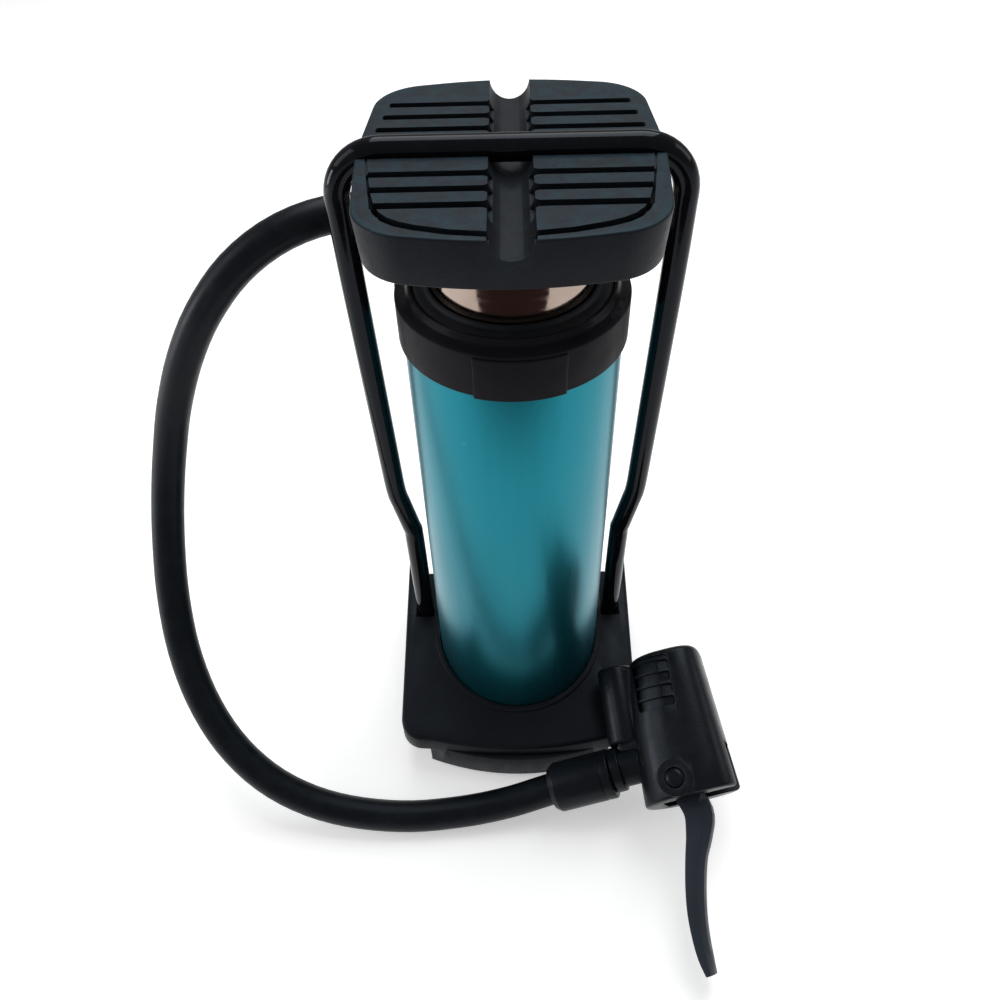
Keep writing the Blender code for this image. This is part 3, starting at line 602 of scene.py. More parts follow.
def anodised():
    """Teal anodised aluminium: fine drawn streaks along the tube, faint clouds and a few light scuffs."""
    paint, tree, shader = nodes_for("teal_anodised", (0.008, 0.17, 0.22), 0.24, 0.9)
    streaks = noise(tree, 420.0, 3.0, 0.6, (1, 1, 0.02))
    clouds = noise(tree, 22.0, 3.0, 0.5, (1, 1, 0.4))
    colour = mixed(tree, span(tree, clouds, 0.3, 0.7), (0.010, 0.185, 0.240), (0.016, 0.225, 0.285))
    scuffs = span(tree, noise(tree, 160.0, 6.0, 0.7, (1, 1, 0.5)), 0.70, 0.78, 0, 0.35)
    colour = mixed(tree, scuffs, colour, (0.12, 0.30, 0.34))
    tree.links.new(colour, shader.inputs["Base Color"])
    tree.links.new(span(tree, streaks, 0.3, 0.7, 0.27, 0.32), shader.inputs["Roughness"])
    bump(tree, shader, streaks, 0.012, SHALLOW)
    return paint


def polished():
    """The plunger's plated tube, with faint rings from grinding."""
    paint, tree, shader = nodes_for("polished_tube", (0.36, 0.28, 0.24), 0.09, 1.0)
    rings = noise(tree, 500.0, 2.0, 0.6, (0.03, 0.03, 1))
    stain = span(tree, noise(tree, 90.0, 4.0), 0.35, 0.75)
    colour = mixed(tree, stain, (0.38, 0.30, 0.255), (0.29, 0.22, 0.185))
    tree.links.new(colour, shader.inputs["Base Color"])
    tree.links.new(span(tree, rings, 0.3, 0.7, 0.06, 0.14), shader.inputs["Roughness"])
    bump(tree, shader, rings, 0.04, SHALLOW)
    return paint


def steel():
    """Drawn spring steel, its sheen slightly uneven."""
    paint, tree, shader = nodes_for("bright_steel", (0.55, 0.55, 0.55), 0.28, 1.0)
    tree.links.new(span(tree, noise(tree, 900.0), 0.3, 0.7, 0.2, 0.36), shader.inputs["Roughness"])
    bump(tree, shader, noise(tree, 1500.0, 2.0), 0.05, SHALLOW)
    return paint


def wire_coat():
    """Gloss black dip coating over the bail's wire, with an orange-peel ripple and dull rubbed patches."""
    paint, tree, shader = nodes_for("coated_wire", (0.0035, 0.0035, 0.0045), 0.12, specular=0.16)
    marks = noise(tree, 260.0, 4.0)
    colour = mixed(tree, span(tree, marks, 0.5, 0.8), (0.003, 0.003, 0.004), (0.006, 0.006, 0.0075))
    tree.links.new(colour, shader.inputs["Base Color"])
    tree.links.new(span(tree, marks, 0.35, 0.7, 0.06, 0.14), shader.inputs["Roughness"])
    bump(tree, shader, noise(tree, 350.0, 3.0), 0.06, DEEP)
    return paint


def hose_rubber():
    """Extruded rubber: a soft sheen, a fine grain and dull patches."""
    paint, tree, shader = nodes_for("hose_rubber", (0.004, 0.005, 0.0065), 0.4, specular=0.15)
    marks = noise(tree, 180.0, 5.0, 0.6)
    colour = mixed(tree, span(tree, marks, 0.45, 0.75), (0.0035, 0.0045, 0.006), (0.007, 0.0085, 0.011))
    tree.links.new(colour, shader.inputs["Base Color"])
    tree.links.new(span(tree, marks, 0.3, 0.7, 0.32, 0.46), shader.inputs["Roughness"])
    bump(tree, shader, noise(tree, 1500.0, 2.0), 0.1, SHALLOW)
    return paint


def rubber():
    """Matt rubber of the seals and the sole, slightly patchy."""
    paint, tree, shader = nodes_for("seal_rubber", (0.006, 0.007, 0.009), 0.6, specular=0.3)
    marks = noise(tree, 240.0, 4.0)
    colour = mixed(tree, span(tree, marks, 0.4, 0.7), (0.005, 0.006, 0.008), (0.010, 0.011, 0.013))
    tree.links.new(colour, shader.inputs["Base Color"])
    bump(tree, shader, noise(tree, 1800.0, 2.0), 0.2, DEEP)
    return paint


def collar_paint():
    """The cap's brown-black plastic, glossy on the dished ring above its band."""
    dark, light = (0.0075, 0.0068, 0.0082), (0.0115, 0.0105, 0.0125)
    paint = moulded("collar_plastic", dark, light, (0.46, 0.07), (0.12, 1200.0), specular=0.06)
    tree = paint.node_tree
    shader = tree.nodes["Principled BSDF"]
    band = shader.inputs["Roughness"].links[0].from_socket
    glossier = height_of(tree, COLLAR_BAND, COLLAR_BAND + 0.7, 0, -0.24)
    tree.links.new(sum_of(tree, band, glossier), shader.inputs["Roughness"])
    return paint


PAINTS = {
    "base_plastic": moulded(
        "base_plastic", (0.0050, 0.0062, 0.0085), (0.0075, 0.0090, 0.0120), (0.42, 0.08), (0.16, 1400.0)),
    # The pedal's top colour is painted light from above; its edge colour is wear and a painted highlight.
    "pedal_plastic": moulded(
        "pedal_plastic", (0.0068, 0.0074, 0.0095), (0.0095, 0.0105, 0.0130), (0.5, 0.07), (0.30, 1100.0),
        top=(0.009, 0.026, 0.036), edge_wear_and_highlight=(0.010, 0.013, 0.017)),
    "collar_plastic": collar_paint(),
    # Its edge colour is wear and a painted highlight.
    "head_plastic": moulded(
        "head_plastic", (0.0042, 0.0048, 0.0062), (0.0062, 0.0070, 0.0090), (0.32, 0.08), (0.18, 1000.0),
        specular=0.16, edge_wear_and_highlight=(0.009, 0.010, 0.0125)),
    "lever_plastic": moulded(
        "lever_plastic", (0.019, 0.023, 0.031), (0.025, 0.030, 0.040), (0.5, 0.07), (0.22, 1200.0)),
    "seal_rubber": rubber(),
    "bright_steel": steel(),
    "teal_anodised": anodised(),
    "polished_tube": polished(),
    "coated_wire": wire_coat(),
    "hose_rubber": hose_rubber(),
}


def paint_frame():
    """Every CAD node takes its slot's finished material."""
    for row in frame["record"]["subparts"]:
        slots = frame["nodes"][row["node"]].material_slots
        for slot in slots:
            slot.material = PAINTS[row["material_slot"]]


def dress(obj, slot_name, body, node):
    """A piece takes its slot's material, rides on its body and stands for its CAD node."""
    obj.data.materials.clear()
    obj.data.materials.append(PAINTS[slot_name])
    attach(obj, body)
    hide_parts(node)


# ---------------------------------------------------------------- barrel, collar and plunger


def barrel():
    """The tube, slightly rounded at its foot and its mouth."""
    profile = fillet((
        (BORE_RADIUS, BARREL_FOOT, 0), (BARREL_RADIUS, BARREL_FOOT, 0.3), (BARREL_RADIUS, BARREL_TOP, 0.5),
        (BORE_RADIUS, BARREL_TOP, 0.5),
    ))
    dress(turned_mesh("barrel_tube_fine", profile), "teal_anodised", "base", "barrel_tube")


def grip_land(i):
    """One of the raised lands on the collar's band."""
    middle = math.radians(GRIP_START + 360 / GRIPS * i)
    turn = [middle + GRIP_HALF_SPAN * (k / 12 - 1) for k in range(25)]
    outline = [(GRIP_RADIUS * math.cos(a), GRIP_RADIUS * math.sin(a)) for a in turn]
    outline += [(GRIP_ROOT * math.cos(a), GRIP_ROOT * math.sin(a)) for a in reversed(turn)]
    land = prism_mesh(f"land_{i}", outline, COLLAR_BOTTOM - 0.35, COLLAR_BAND - 0.6)
    round_edges(land, 0.4, 4)
    return bake(land)


def collar():
    """The cap: a band with three grip lands under a dished ring."""
    profile = fillet((
        (BARREL_FIT, COLLAR_BOTTOM, 0), (COLLAR_RADIUS, COLLAR_BOTTOM, 0.35),
        (COLLAR_RADIUS, COLLAR_BAND, 0.5), (26.1, COLLAR_BAND + 0.5, 0.4), (24.6, COLLAR_BAND + 1.2, 1.5),
        (23.8, COLLAR_RIM, 0.3), (MOUTH_RADIUS, COLLAR_RIM, 0.2), (MOUTH_RADIUS, WIPER_SEAT, 0),
        (BARREL_FIT, WIPER_SEAT, 0),
    ))
    cap = turned_mesh("collar_cap_fine", profile)
    for i in range(GRIPS):
        join(cap, grip_land(i))
    bake(cap)
    dress(cap, "collar_plastic", "base", "collar_cap")


def wiper():
    """The ring in the collar's mouth, with a raised lip round the plunger."""
    bore, radius, face = TUBE_RADIUS + GAP, MOUTH_RADIUS - GAP, WIPER_TOP - 0.7
    profile = fillet((
        (bore, WIPER_SEAT, 0), (radius, WIPER_SEAT, 0), (radius, face - 0.4, 0.4),
        (radius - 0.9, face, 0.3), (bore + 1.3, face, 0.4), (bore + 0.6, WIPER_TOP, 0.2),
        (bore, WIPER_TOP, 0.15),
    ))
    dress(turned_mesh("wiper_ring_fine", profile), "seal_rubber", "base", "wiper_ring")


def plunger():
    """The polished tube that slides in the barrel."""
    bore = TUBE_RADIUS - TUBE_WALL
    profile = fillet((
        (bore, TUBE_FOOT, 0), (TUBE_RADIUS, TUBE_FOOT, 0.4), (TUBE_RADIUS, TUBE_TOP, 0.4),
        (bore, TUBE_TOP, 0.2),
    ))
    dress(turned_mesh("plunger_tube_fine", profile), "polished_tube", "plunger", "plunger_tube")


def spring(steps=40, sides=10):
    """The return spring with closed ends, drawn at one length, though the real one shortens as the plunger
    goes down.
    """
    sections = []
    around = [2 * math.pi * k / sides for k in range(sides)]
    for i in range(SPRING_TURNS * steps + 1):
        turns = i / steps
        rise = min(max((turns - 0.5) / (SPRING_TURNS - 1), 0.0), 1.0)
        outward = Vector((math.cos(2 * math.pi * turns), math.sin(2 * math.pi * turns), 0))
        level = SPRING_LOW + (SPRING_HIGH - SPRING_LOW) * rise + SPRING_DRIFT * turns
        middle = outward * SPRING_RADIUS + Vector((0, 0, level))
        ring = [outward * math.cos(a) + Vector((0, 0, math.sin(a))) for a in around]
        sections.append([middle + SPRING_WIRE_RADIUS * spoke for spoke in ring])
    coil = loft_mesh("return_spring_fine", sections)
    dress(coil, "bright_steel", "base", "return_spring")
    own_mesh(coil)


# ---------------------------------------------------------------- pedal


def pedal_outline():
    (x, y), corners = PEDAL_CORNER, []
    for turn in (1, -1):
        corners += [
            (turn * PEDAL_SIDE, 0, SIDE_FILLET), (turn * x, turn * y, PEDAL_FILLET),
            (0, turn * PEDAL_END, END_FILLET), (-turn * x, turn * y, PEDAL_FILLET),
        ]
    return fillet(corners, 14)


def slot_form(turn, i):
    """A cross slot that flares where it meets the hose channel, so the slats' ends are round."""
    middle = turn * (FIRST_SLOT + SLOT_PITCH * i)
    reach = SLOT_REACH - SLOT_SHORTER * i
    side = [
        (SLOT_MOUTH + SLOT_FLARE * (1 - math.cos(a)), SLOT_HALF_WIDTH + SLOT_FLARE * (1 - math.sin(a)))
        for a in quarter(6)
    ]
    side += [(reach - 0.4, SLOT_HALF_WIDTH), (reach, SLOT_HALF_WIDTH - 0.4)]
    right = side + [(x, -s) for x, s in reversed(side)]
    outline = [(x, middle + s) for x, s in right + [(-x, s) for x, s in reversed(right)]]
    return prism_mesh(f"slot_{turn}_{i}", outline, SLOT_FLOOR, ABOVE_PEDAL)


def seam_form(side):
    """The groove between the front panel and its rim, narrow and shallow beside the slats."""
    edge = [Vector((side * x, -y)) for x, y in PANEL_EDGE]
    inner, floor = [], []
    for i, point in enumerate(edge):
        run = (edge[min(i + 1, len(edge) - 1)] - edge[max(i - 1, 0)]).normalized()
        inward = Vector((-run.y, run.x))
        if inward.dot(point) > 0:
            inward = -inward
        wide = min(SEAM_WIDEST, SEAM_WIDTH + 0.4 * max(i - BESIDE_SLATS + 1, 0))
        inner.append(point + inward * wide)
        floor.append(SEAM_FLOOR_BESIDE_SLATS if i < BESIDE_SLATS else SEAM_FLOOR)
    outline = edge + inner[::-1]
    low = [(*point, level) for point, level in zip(outline, floor + floor[::-1])]
    high = [(*point, ABOVE_PEDAL) for point in outline]
    return loft_mesh(f"seam_{side}", [low, high])


def pedal():
    """The tread: slats, panels inside a rim, the hose channel along it and the groove of the bail's bar."""
    outline = pedal_outline()
    body = loft_mesh("pedal_fine", [[(x * s, y * s, z) for x, y in outline] for z, s in PEDAL_TAPER])
    round_edges(body, 0.55, 4, 50)
    bake(body)
    past = 50  # beyond the pedal's ends
    front, rear = (0, -past, HOSE_CHANNEL_Z), (0, past, HOSE_CHANNEL_Z)
    cut(body, rod_mesh("channel", HOSE_CHANNEL_RADIUS, front, rear, LARGE))
    cut(body, rod_mesh("groove", BAR_GROOVE_RADIUS, (-past, 0, BAR_Z), (past, 0, BAR_Z), ROUND))
    for side in (-1, 1):
        start, end = (side * 24, 0, BAR_Z + 0.7), (side * 40, 0, BAR_Z - 4.0)
        cut(body, rod_mesh(f"groove_end_{side}", BAR_GROOVE_RADIUS, start, end, ROUND))
    for turn in (-1, 1):
        for i in range(SLOTS):
            cut(body, slot_form(turn, i))
    cut(body, seam_form(-1), seam_form(1))
    start, end = (0, 0, PEDAL_BOTTOM - 2), (0, 0, TUBE_TOP + GAP)
    cut(body, rod_mesh("socket", TUBE_RADIUS + GAP, start, end, LARGE))
    cut(body, rod_mesh("screw_hole", 2.4, (0, 0, PEDAL_BOTTOM + 3), (0, 0, 187.3), TINY))
    bake(body)
    round_edges(body, 0.16, 2, 40)
    bake(body, 25)
    dress(body, "pedal_plastic", "plunger", "pedal")


# ---------------------------------------------------------------- bail


def bail():
    """The wire, leaning forward from its pivots to the bar."""
    lean = PIVOT_Y / (BAR_Z - PIVOT_Z)
    corner = [
        (BAR_HALF - BAR_CORNER * (1 - math.cos(a)), BAR_Z - BAR_CORNER * (1 - math.sin(a)))
        for a in quarter(12)
    ]
    leg_x = BAIL_LEG[0][0]
    foot = [
        (leg_x + FOOT_BEND * (1 - math.sin(a)), PIVOT_Z + FOOT_BEND * (1 - math.cos(a)))
        for a in quarter(6)
    ]
    leg = smooth_route([(x, 0, z) for x, z in BAIL_LEG], 2.5)
    flat = [(FOOT_END, PIVOT_Z), *foot, *[(p.x, p.z) for p in leg[1:-1]], *corner]
    right = [(x, PIVOT_Y - lean * (z - PIVOT_Z), z) for x, z in flat]
    left = [(-x, y, z) for x, y, z in reversed(right)]
    dress(tube_curve("bail_wire_fine", right + left, WIRE_RADIUS), "coated_wire", "bail", "bail_wire")


# ---------------------------------------------------------------- base


def base_top(y):
    return TOP_AT_AXIS + TOP_SLOPE * y


def bowed_front(half, side_y, middle_y, count=33):
    """Points along a front edge that bows forward, from right to left."""
    spots = [half * (1 - 2 * i / (count - 1)) for i in range(count)]
    return [(x, middle_y + (side_y - middle_y) * (x / half) ** 2) for x in spots]


def flange():
    """The base's upper body under its sloped top."""
    outline = bowed_front(*BASE_BOW) + fillet((
        (-BASE_HALF_WIDTH, BASE_CORNER_Y, 7), (-BASE_HALF_WIDTH, BASE_REAR, 4),
        (BASE_HALF_WIDTH, BASE_REAR, 4), (BASE_HALF_WIDTH, BASE_CORNER_Y, 7),
    ), 10)
    low = [(x, y, FLANGE_UNDERSIDE) for x, y in outline]
    body = loft_mesh("base_body_fine", [low, [(x, y, base_top(y)) for x, y in outline]])
    round_edges(body, 1.25, 5, 50)
    return bake(body)


def plinth():
    """The narrower lower body, wider again at the heel."""
    half, wide = PLINTH_BOW[0], PLINTH_HALF_WIDTH
    outline = bowed_front(*PLINTH_BOW) + fillet((
        (-half, HEEL_FRONT, 0), (-wide, HEEL_FRONT, 3), (-wide, PLINTH_REAR, 4),
        (wide, PLINTH_REAR, 4), (wide, HEEL_FRONT, 3), (half, HEEL_FRONT, 0),
    ), 8)
    return prism_mesh("plinth", outline, BASE_UNDERSIDE, PLINTH_TOP)


def lip():
    """The raised ring round the barrel's foot, which follows the sloped top."""
    turn = [2 * math.pi * i / FINE for i in range(FINE)]
    circle = [(LIP_RADIUS * math.cos(a), LIP_RADIUS * math.sin(a)) for a in turn]
    low = [(x, y, SOCKET_FLOOR) for x, y in circle]
    ring = loft_mesh("lip", [low, [(x, y, base_top(y) + LIP_HEIGHT) for x, y in circle]])
    round_edges(ring, 0.4, 3, 50)
    return bake(ring)


def base():
    """The foot: a sloped top with a lip round the barrel, wire channels, and a narrower plinth below."""
    body = flange()
    join(body, plinth(), lip())
    cut(body, rod_mesh("socket_form", BARREL_FIT, (0, 0, SOCKET_FLOOR), (0, 0, ABOVE_BASE), FINE))
    for turn in (-1, 1):
        inside, outside = sorted(turn * x for x in WIRE_CHANNEL)
        low, high = (inside, WIRE_CHANNEL_FRONT, WIRE_CHANNEL_FLOOR), (outside, BEHIND_BASE, ABOVE_BASE)
        cut(body, box_mesh(f"channel_{turn}", low, high))
        start, end = (turn * 31, PIVOT_Y, PIVOT_Z), (turn * 45, PIVOT_Y, PIVOT_Z)
        cut(body, rod_mesh(f"pivot_{turn}", PIVOT_HOLE_RADIUS, start, end))
    cut(body, rod_mesh("chamber", CHAMBER_RADIUS, (0, CHAMBER_Y, 3.2), (0, CHAMBER_Y, 15), TINY))
    cut(body, rod_mesh("spigot", SPIGOT_RADIUS + GAP, (0, 28, OUTLET_Z), (0, BEHIND_BASE, OUTLET_Z)))
    bake(body)
    round_edges(body, 0.3, 3, 40)
    bake(body)
    dress(body, "base_plastic", "base", "base_body")


def outlet_elbow():
    """The elbow behind the base: a riser on a flanged spigot, with a barb that the hose goes over."""
    riser = fillet((
        (0, 3.0, 0), (5.4, 3.0, 1.2), (5.4, 13.4, 1.0), (4.6, 15.0, 0.5), (3.6, 15.6, 0), (3.6, 21.0, 0),
        (3.9, 21.3, 0), (3.3, OUTLET_TOP, 0.3), (0, OUTLET_TOP, 0),
    ))
    elbow = turned_mesh("outlet_elbow_fine", riser, MEDIUM, Matrix.Translation((0, OUTLET_Y, 0)))
    join(elbow, rod_mesh("elbow_spigot", SPIGOT_RADIUS, (0, 28.6, OUTLET_Z), (0, 44, OUTLET_Z)))
    rim = rod_mesh("elbow_rim", SPIGOT_RIM_RADIUS, (0, 37.1, OUTLET_Z), (0, 39.3, OUTLET_Z), MEDIUM)
    round_edges(rim, 0.4)
    join(elbow, bake(rim))
    cut(elbow, rod_mesh("elbow_bore", 1.9, (0, OUTLET_Y, 6.1), (0, OUTLET_Y, 30), TINY))
    bake(elbow)
    round_edges(elbow, 0.2, 2, 50)
    bake(elbow)
    dress(elbow, "base_plastic", "base", "outlet_elbow")


def outlet_ferrule():
    """The sleeve that holds the hose on the barb, crimped in four rings."""
    waist, crimps = SLEEVE_RADIUS - CRIMP_DEPTH, []
    for i in range(CRIMPS):
        z = 19.0 + CRIMP_PITCH * i
        crimps += [(SLEEVE_RADIUS, z, 0.2), (waist, z + 0.5, 0.3)]
        crimps += [(waist, z + 1.1, 0.3), (SLEEVE_RADIUS, z + 1.6, 0.2)]
    profile = fillet((
        (SLEEVE_BORE, SLEEVE_FOOT, 0.2), (SLEEVE_RADIUS, SLEEVE_FOOT, 0.5), *crimps,
        (SLEEVE_RADIUS, SLEEVE_TOP - 2, 1.0), (5.6, SLEEVE_TOP, 0.4), (SLEEVE_BORE, SLEEVE_TOP, 0.1),
    ), 3)
    sleeve = turned_mesh("outlet_ferrule_fine", profile, MEDIUM, Matrix.Translation((0, OUTLET_Y, 0)))
    dress(sleeve, "collar_plastic", "base", "outlet_ferrule")


# ---------------------------------------------------------------- valve head


def squircle(left, right, half_depth, y, slope):
    """A section of the head: squarish on its right, nearly round on its left."""
    section = []
    for i in range(SECTION_SIDES):
        angle = 2 * math.pi * i / SECTION_SIDES
        c, s = math.cos(angle), math.sin(angle)
        reach, power = (right, RIGHT_POWER) if c > 0 else (left, LEFT_POWER)
        x = reach * math.copysign(abs(c) ** power, c)
        section.append((x, y + slope * x, half_depth * math.copysign(abs(s) ** power, s)))
    return section


def head_rows():
    """How far along the head its sections lie, and how far each is drawn in by the rounded ends."""
    near, far = LEVER_END_FILLET, PORT_END_FILLET
    rows = [(LEVER_END + near * (1 - math.cos(a)), near * (1 - math.sin(a))) for a in quarter(4)]
    rows += [(y, 0.0) for y in (8.0, 14.0, 20.0, 26.0, PORT_LEAN_START)]
    rows += [(HEAD_LENGTH - far * (1 - math.sin(a)), far * (1 - math.cos(a))) for a in quarter(6)]
    return rows


def head_form(name, shrink=0.0):
    """The housing's own shape, or one that lies inside it by the shrink."""
    sections = []
    for y, inset in head_rows():
        inset += shrink
        share = max(y, 0) / HEAD_LENGTH
        left_share = max(share * 1.87 - 0.87, 0)  # the left side narrows nearer to the port
        left = HEAD_LEFT + (HEAD_PORT_LEFT - HEAD_LEFT) * left_share
        right = HEAD_RIGHT + (HEAD_PORT_RIGHT - HEAD_RIGHT) * share
        deep = HEAD_HALF_DEPTH - inset - HEAD_DEPTH_TAPER * share
        slope = LEVER_END_SLOPE * max(0.0, 1 - max(y - SLOPE_START, 0) / SLOPE_FADE)
        lean = PORT_LEAN * max(0.0, (y - PORT_LEAN_START) / (HEAD_LENGTH - PORT_LEAN_START))
        middle = y - HEAD_PORT_RIGHT * lean
        sections.append(squircle(left - inset, right - inset, deep, middle, slope + lean))
    return loft_mesh(name, sections, head_place())


def sink(body, name, low, high, corner, steps, depth):
    """Cuts a recess with round corners into the head's upper side, to an even depth."""
    (x0, y0), (x1, y1) = low, high
    outline = fillet(((x0, y0, corner), (x1, y0, corner), (x1, y1, corner), (x0, y1, corner)), steps)
    form = prism_mesh(name, outline, 2.0, THROUGH, head_place())
    cut(form, head_form(f"{name}_floor", depth))
    cut(body, bake(form))


def ribbed_pocket(body):
    """A shallow recess near the port with deeper pits in it, which leave thin ribs."""
    sink(body, "recess", POCKET_LOW, POCKET_HIGH, 1.2, 5, POCKET_DEPTH)
    left, right = POCKET_LOW[0] + 0.2, POCKET_HIGH[0] - 0.2
    for i in range(PITS):
        y = FIRST_PIT + PIT_PITCH * i
        low, high = (left, y - PIT_HALF_WIDTH), (right, y + PIT_HALF_WIDTH)
        sink(body, f"pit_{i}", low, high, 0.6, 3, PIT_DEPTH)


def disc(name, radius, half, spot, sides):
    """A disc along the lever's pin, with rounded rims."""
    profile = fillet(((0, -half, 0), (radius, -half, 0.4), (radius, half, 0.4), (0, half, 0)))
    return turned_mesh(name, profile, sides, Matrix.Translation((*spot, 0)), head_place())


def along_head(x=0.0):
    """Turns a profile to lie along the head."""
    return Matrix.Translation((x, 0, 0)) @ Matrix.Rotation(math.radians(-90), 4, "X")


def second_barrel():
    """The smaller port's barrel beside the head."""
    start, end = SECOND_BARREL
    profile = fillet((
        (0, start, 0), (SECOND_BARREL_RADIUS, start, 1.0), (SECOND_BARREL_RADIUS, end, 1.2), (0, end, 0),
    ))
    return turned_mesh("second_barrel", profile, ROUND, along_head(PORT_X[0]), head_place())


def head():
    """The housing: two barrels joined by a web, a fork for the lever, two ports and a ribbed pocket."""
    place = head_place()
    body = head_form("head_body_fine")
    web = box_mesh("web", WEB_LOW, WEB_HIGH, place)
    round_edges(web, 0.8)
    join(body, second_barrel(), bake(web), disc("boss", BOSS_RADIUS, BOSS_HALF, PIN, ROUND))
    bake(body)
    ribbed_pocket(body)
    cut(body, box_mesh("fork", FORK_LOW, FORK_HIGH, place))
    second, first = PORT_X
    cut(body, rod_mesh("port", PORT_BORE, (first, 12, 0), (first, 50, 0), ROUND, place))
    cut(body, rod_mesh("second_port", SECOND_PORT_RADIUS, (second, 33, 0), (second, 50, 0), SMALL, place))
    for low, high in ((11.3, THROUGH), (-THROUGH, -11.3)):
        cut(body, rod_mesh("pin_seat", PIN_SEAT_RADIUS, (*PIN, low), (*PIN, high), MEDIUM, place))
    cut(body, pin_hole("pin_hole"))
    bake(body)
    round_edges(body, 0.22, 2, 40)
    bake(body, 27)
    dress(body, "head_plastic", "base", "head_body")


def pin_hole(name):
    return rod_mesh(name, PIN_HOLE_RADIUS, (*PIN, -THROUGH), (*PIN, THROUGH), PIN_SIDES, head_place())


def along_neck(raised=0.0):
    """Turns a profile to lie along the swivel neck."""
    turn = Matrix.Rotation(NECK_TURN, 4, "Z") @ Matrix.Rotation(math.radians(-90), 4, "Y")
    return Matrix.Translation((0, NECK_Y + raised, 0)) @ turn


def neck():
    """The swivel neck between the head and the hose's sleeve."""
    profile = fillet((
        (0, NECK_START, 0), (3.0, NECK_START, 0.2), (3.0, 12.2, 0), (5.6, 12.2, 0.3), (5.6, 18.2, 0.4),
        (6.6, 18.6, 0.5), (6.6, NECK_END - 0.4, 0.3), (6.2, NECK_END, 0.1), (0, NECK_END, 0),
    ))
    piece = turned_mesh("neck_barb_fine", profile, ROUND, along_neck(NECK_RAISED), head_place())
    dress(piece, "head_plastic", "base", "neck_barb")


def head_ferrule():
    """The sleeve on the hose's end, with a fine groove near the neck."""
    radius, waist, start, end = FERRULE_RADIUS, FERRULE_RADIUS - 0.25, FERRULE_START, FERRULE_END
    profile = fillet((
        (0, start, 0), (radius, start, 0.6), (radius, start + 2.6, 0.15), (waist, start + 2.8, 0.1),
        (waist, start + 3.1, 0.1), (radius, start + 3.3, 0.15), (radius, end - 1.8, 0.8), (6.2, end, 0.5),
        (FERRULE_BORE, end, 0.3), (FERRULE_BORE, 26.0, 0), (0, 26.0, 0),
    ))
    piece = turned_mesh("head_ferrule_fine", profile, ROUND, along_neck(), head_place())
    dress(piece, "head_plastic", "base", "head_ferrule")


def port_nut():
    """The ring in the valve port."""
    profile = fillet((
        (NUT_BORE, NUT_START, 0), (NUT_RADIUS, NUT_START, 0), (NUT_RADIUS, NUT_END, 0.3),
        (NUT_BORE, NUT_END, 0.6),
    ))
    piece = turned_mesh("port_nut_fine", profile, ROUND, along_head(), head_place())
    dress(piece, "collar_plastic", "base", "port_nut")


def lever_pin():
    """The lever's pin, with a domed head at its upper end."""
    profile = fillet((
        (0, -12.4, 0), (PIN_HEAD_RADIUS, -12.4, 0.5), (PIN_HEAD_RADIUS, -11.6, 0), (PIN_RADIUS, -11.6, 0),
        (PIN_RADIUS, 11.6, 0), (PIN_HEAD_RADIUS, 11.6, 0), (PIN_HEAD_RADIUS, 12.2, 0.4), (1.7, 12.7, 0.6),
        (0, 12.7, 0),
    ))
    piece = turned_mesh("lever_pin_fine", profile, MEDIUM, Matrix.Translation((*PIN, 0)), head_place())
    dress(piece, "head_plastic", "base", "lever_pin")


def lever_outline(share):
    """The blade's outline, or one whose right side is drawn in to that share of the half width."""
    fine = smooth_route(LEVER_MIDDLE, LEVER_STEP)
    right, left = [], []
    for i, here in enumerate(fine):
        run = (fine[min(i + 1, len(fine) - 1)].xy - fine[max(i - 1, 0)].xy).normalized()
        drawn = 1 if i < UNBEVELLED else share
        right.append((here.x - run.y * here.z * drawn, here.y + run.x * here.z * drawn))
        left.append((here.x + run.y * here.z, here.y - run.x * here.z))
    return right + left[::-1]


def lever():
    """The thumb lever: a curved blade bevelled along one side, a hub on the pin and a cam nose."""
    sections = [[(x, y, z) for x, y in lever_outline(share)] for z, share in LEVER_LEVELS]
    blade = loft_mesh("lever_fine", sections, head_place())
    round_edges(blade, 0.45, 3, 30)
    bake(blade)
    hub = disc("hub", HUB_RADIUS, HUB_HALF, PIN, MEDIUM)
    nose = disc("nose", NOSE_RADIUS, NOSE_HALF, NOSE_AT, SMALL)
    join(blade, hub, nose)
    cut(blade, pin_hole("lever_hole"))
    bake(blade)
    dress(blade, "lever_plastic", "lever", "lever")


# ---------------------------------------------------------------- camera, hose

CAMERA_AT = (0, -0.1737, 0.2733)  # metres
CAMERA_PITCH, CAMERA_PAN, CAMERA_ROLL = (math.radians(angle) for angle in (46.60, -1.49, 1.95))


def camera():
    """Looks down from the front, turned and tilted a little."""
    level = math.cos(CAMERA_PITCH)
    ahead = Vector((math.sin(CAMERA_PAN) * level, math.cos(CAMERA_PAN) * level, -math.sin(CAMERA_PITCH)))
    flat_right = Vector((math.cos(CAMERA_PAN), -math.sin(CAMERA_PAN), 0))
    flat_down = ahead.cross(flat_right)
    right = math.cos(CAMERA_ROLL) * flat_right + math.sin(CAMERA_ROLL) * flat_down
    down = -math.sin(CAMERA_ROLL) * flat_right + math.cos(CAMERA_ROLL) * flat_down
    data = bpy.data.cameras.new("camera")
    data.lens = 31.72
    data.sensor_width = 36.0
    data.clip_start = 0.01
    seen = bpy.data.objects.new("camera", data)
    turn = Matrix((right, -down, -ahead)).transposed().to_4x4()
    seen.matrix_world = Matrix.Translation(CAMERA_AT) @ turn
    bpy.context.scene.collection.objects.link(seen)
    bpy.context.scene.camera = seen


def hose():
    """The hose and its length in metres."""
    points = smooth_route(HOSE_ROUTE, HOSE_STEP)
    obj = tube_curve("hose", points, HOSE_DIAMETER / 2, 12)
    dress(obj, "hose_rubber", "base", "air_hose")
    length = sum((q - p).length for p, q in zip(points, points[1:])) * MM
    return obj, length


# ---------------------------------------------------------------- light and floor


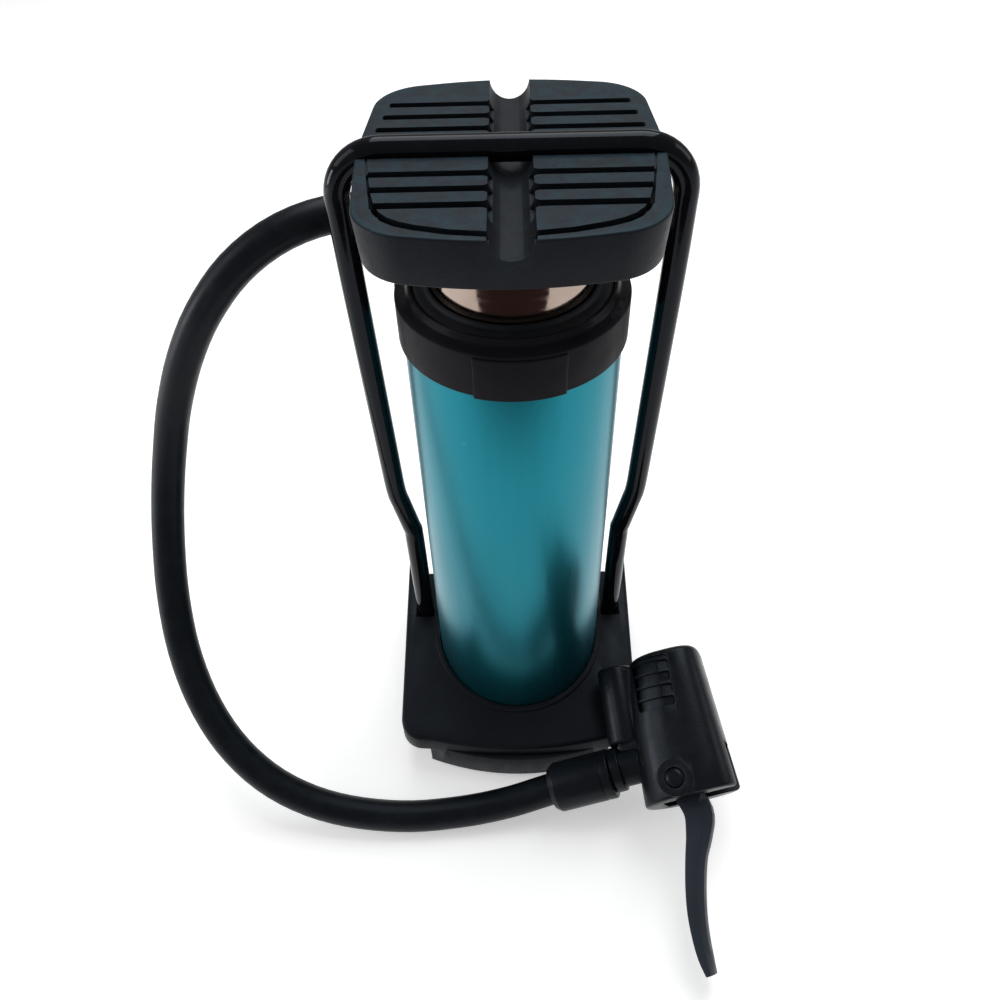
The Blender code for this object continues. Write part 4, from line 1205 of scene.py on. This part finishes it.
def area(name, spot, aim, size, power):
    """A square light that looks from a spot to an aim, all in metres and watts."""
    data = bpy.data.lights.new(name, "AREA")
    data.size = size
    data.energy = power
    obj = bpy.data.objects.new(name, data)
    obj.location = spot
    obj.rotation_euler = (Vector(aim) - Vector(spot)).to_track_quat("-Z", "Y").to_euler()
    bpy.context.scene.collection.objects.link(obj)


def lights():
    """A soft overhead light, and weaker ones from the sides."""
    area("above", (0.05, 0.35, 0.9), (0, 0, 0.1), 0.7, 6.0)
    area("left", (-0.8, -0.1, 0.6), (0, 0, 0.1), 0.5, 1.7)
    area("low_left", (-0.75, -0.05, 0.16), (0.05, -0.04, 0.04), 0.22, 1.2)
    area("right", (0.8, 0.1, 0.5), (0, 0, 0.1), 0.4, 0.9)


def surroundings():
    """An even pale world and a white floor that glows a little."""
    world = bpy.data.worlds.new("world")
    bpy.context.scene.world = world
    world.use_nodes = True
    back = world.node_tree.nodes["Background"]
    back.inputs["Color"].default_value = (1, 1, 1, 1)
    back.inputs["Strength"].default_value = 0.32
    bpy.context.scene.view_settings.view_transform = "Standard"
    bm = bmesh.new()
    bmesh.ops.create_grid(bm, x_segments=1, y_segments=1, size=4000)
    floor = from_bmesh("floor", bm)
    floor.location.z = -0.0005
    paint, _, shader = nodes_for("floor", (0.9, 0.9, 0.9), 0.9)
    shader.inputs["Emission Color"].default_value = (1, 1, 1, 1)
    shader.inputs["Emission Strength"].default_value = 0.4
    floor.data.materials.append(paint)


def flag():
    """A dark card on the floor in front, seen in reflections only: it keeps the front faces dark."""
    bm = bmesh.new()
    corners = ((-330, -620), (330, -620), (260, -238), (-260, -238))
    bm.faces.new([bm.verts.new((x, y, 2)) for x, y in corners])
    card = from_bmesh("flag", bm)
    for ray in ("camera", "diffuse", "shadow", "transmission", "volume_scatter"):
        setattr(card, "visible_" + ray, False)
    paint, _, _ = nodes_for("flag", (0.035, 0.012, 0.010), 1.0)
    card.data.materials.append(paint)


def main():
    camera()
    paint_frame()
    obj, length = hose()
    barrel()
    collar()
    wiper()
    plunger()
    spring()
    pedal()
    bail()
    base()
    outlet_elbow()
    outlet_ferrule()
    head()
    neck()
    head_ferrule()
    port_nut()
    lever_pin()
    lever()
    surroundings()
    lights()
    flag()


main()
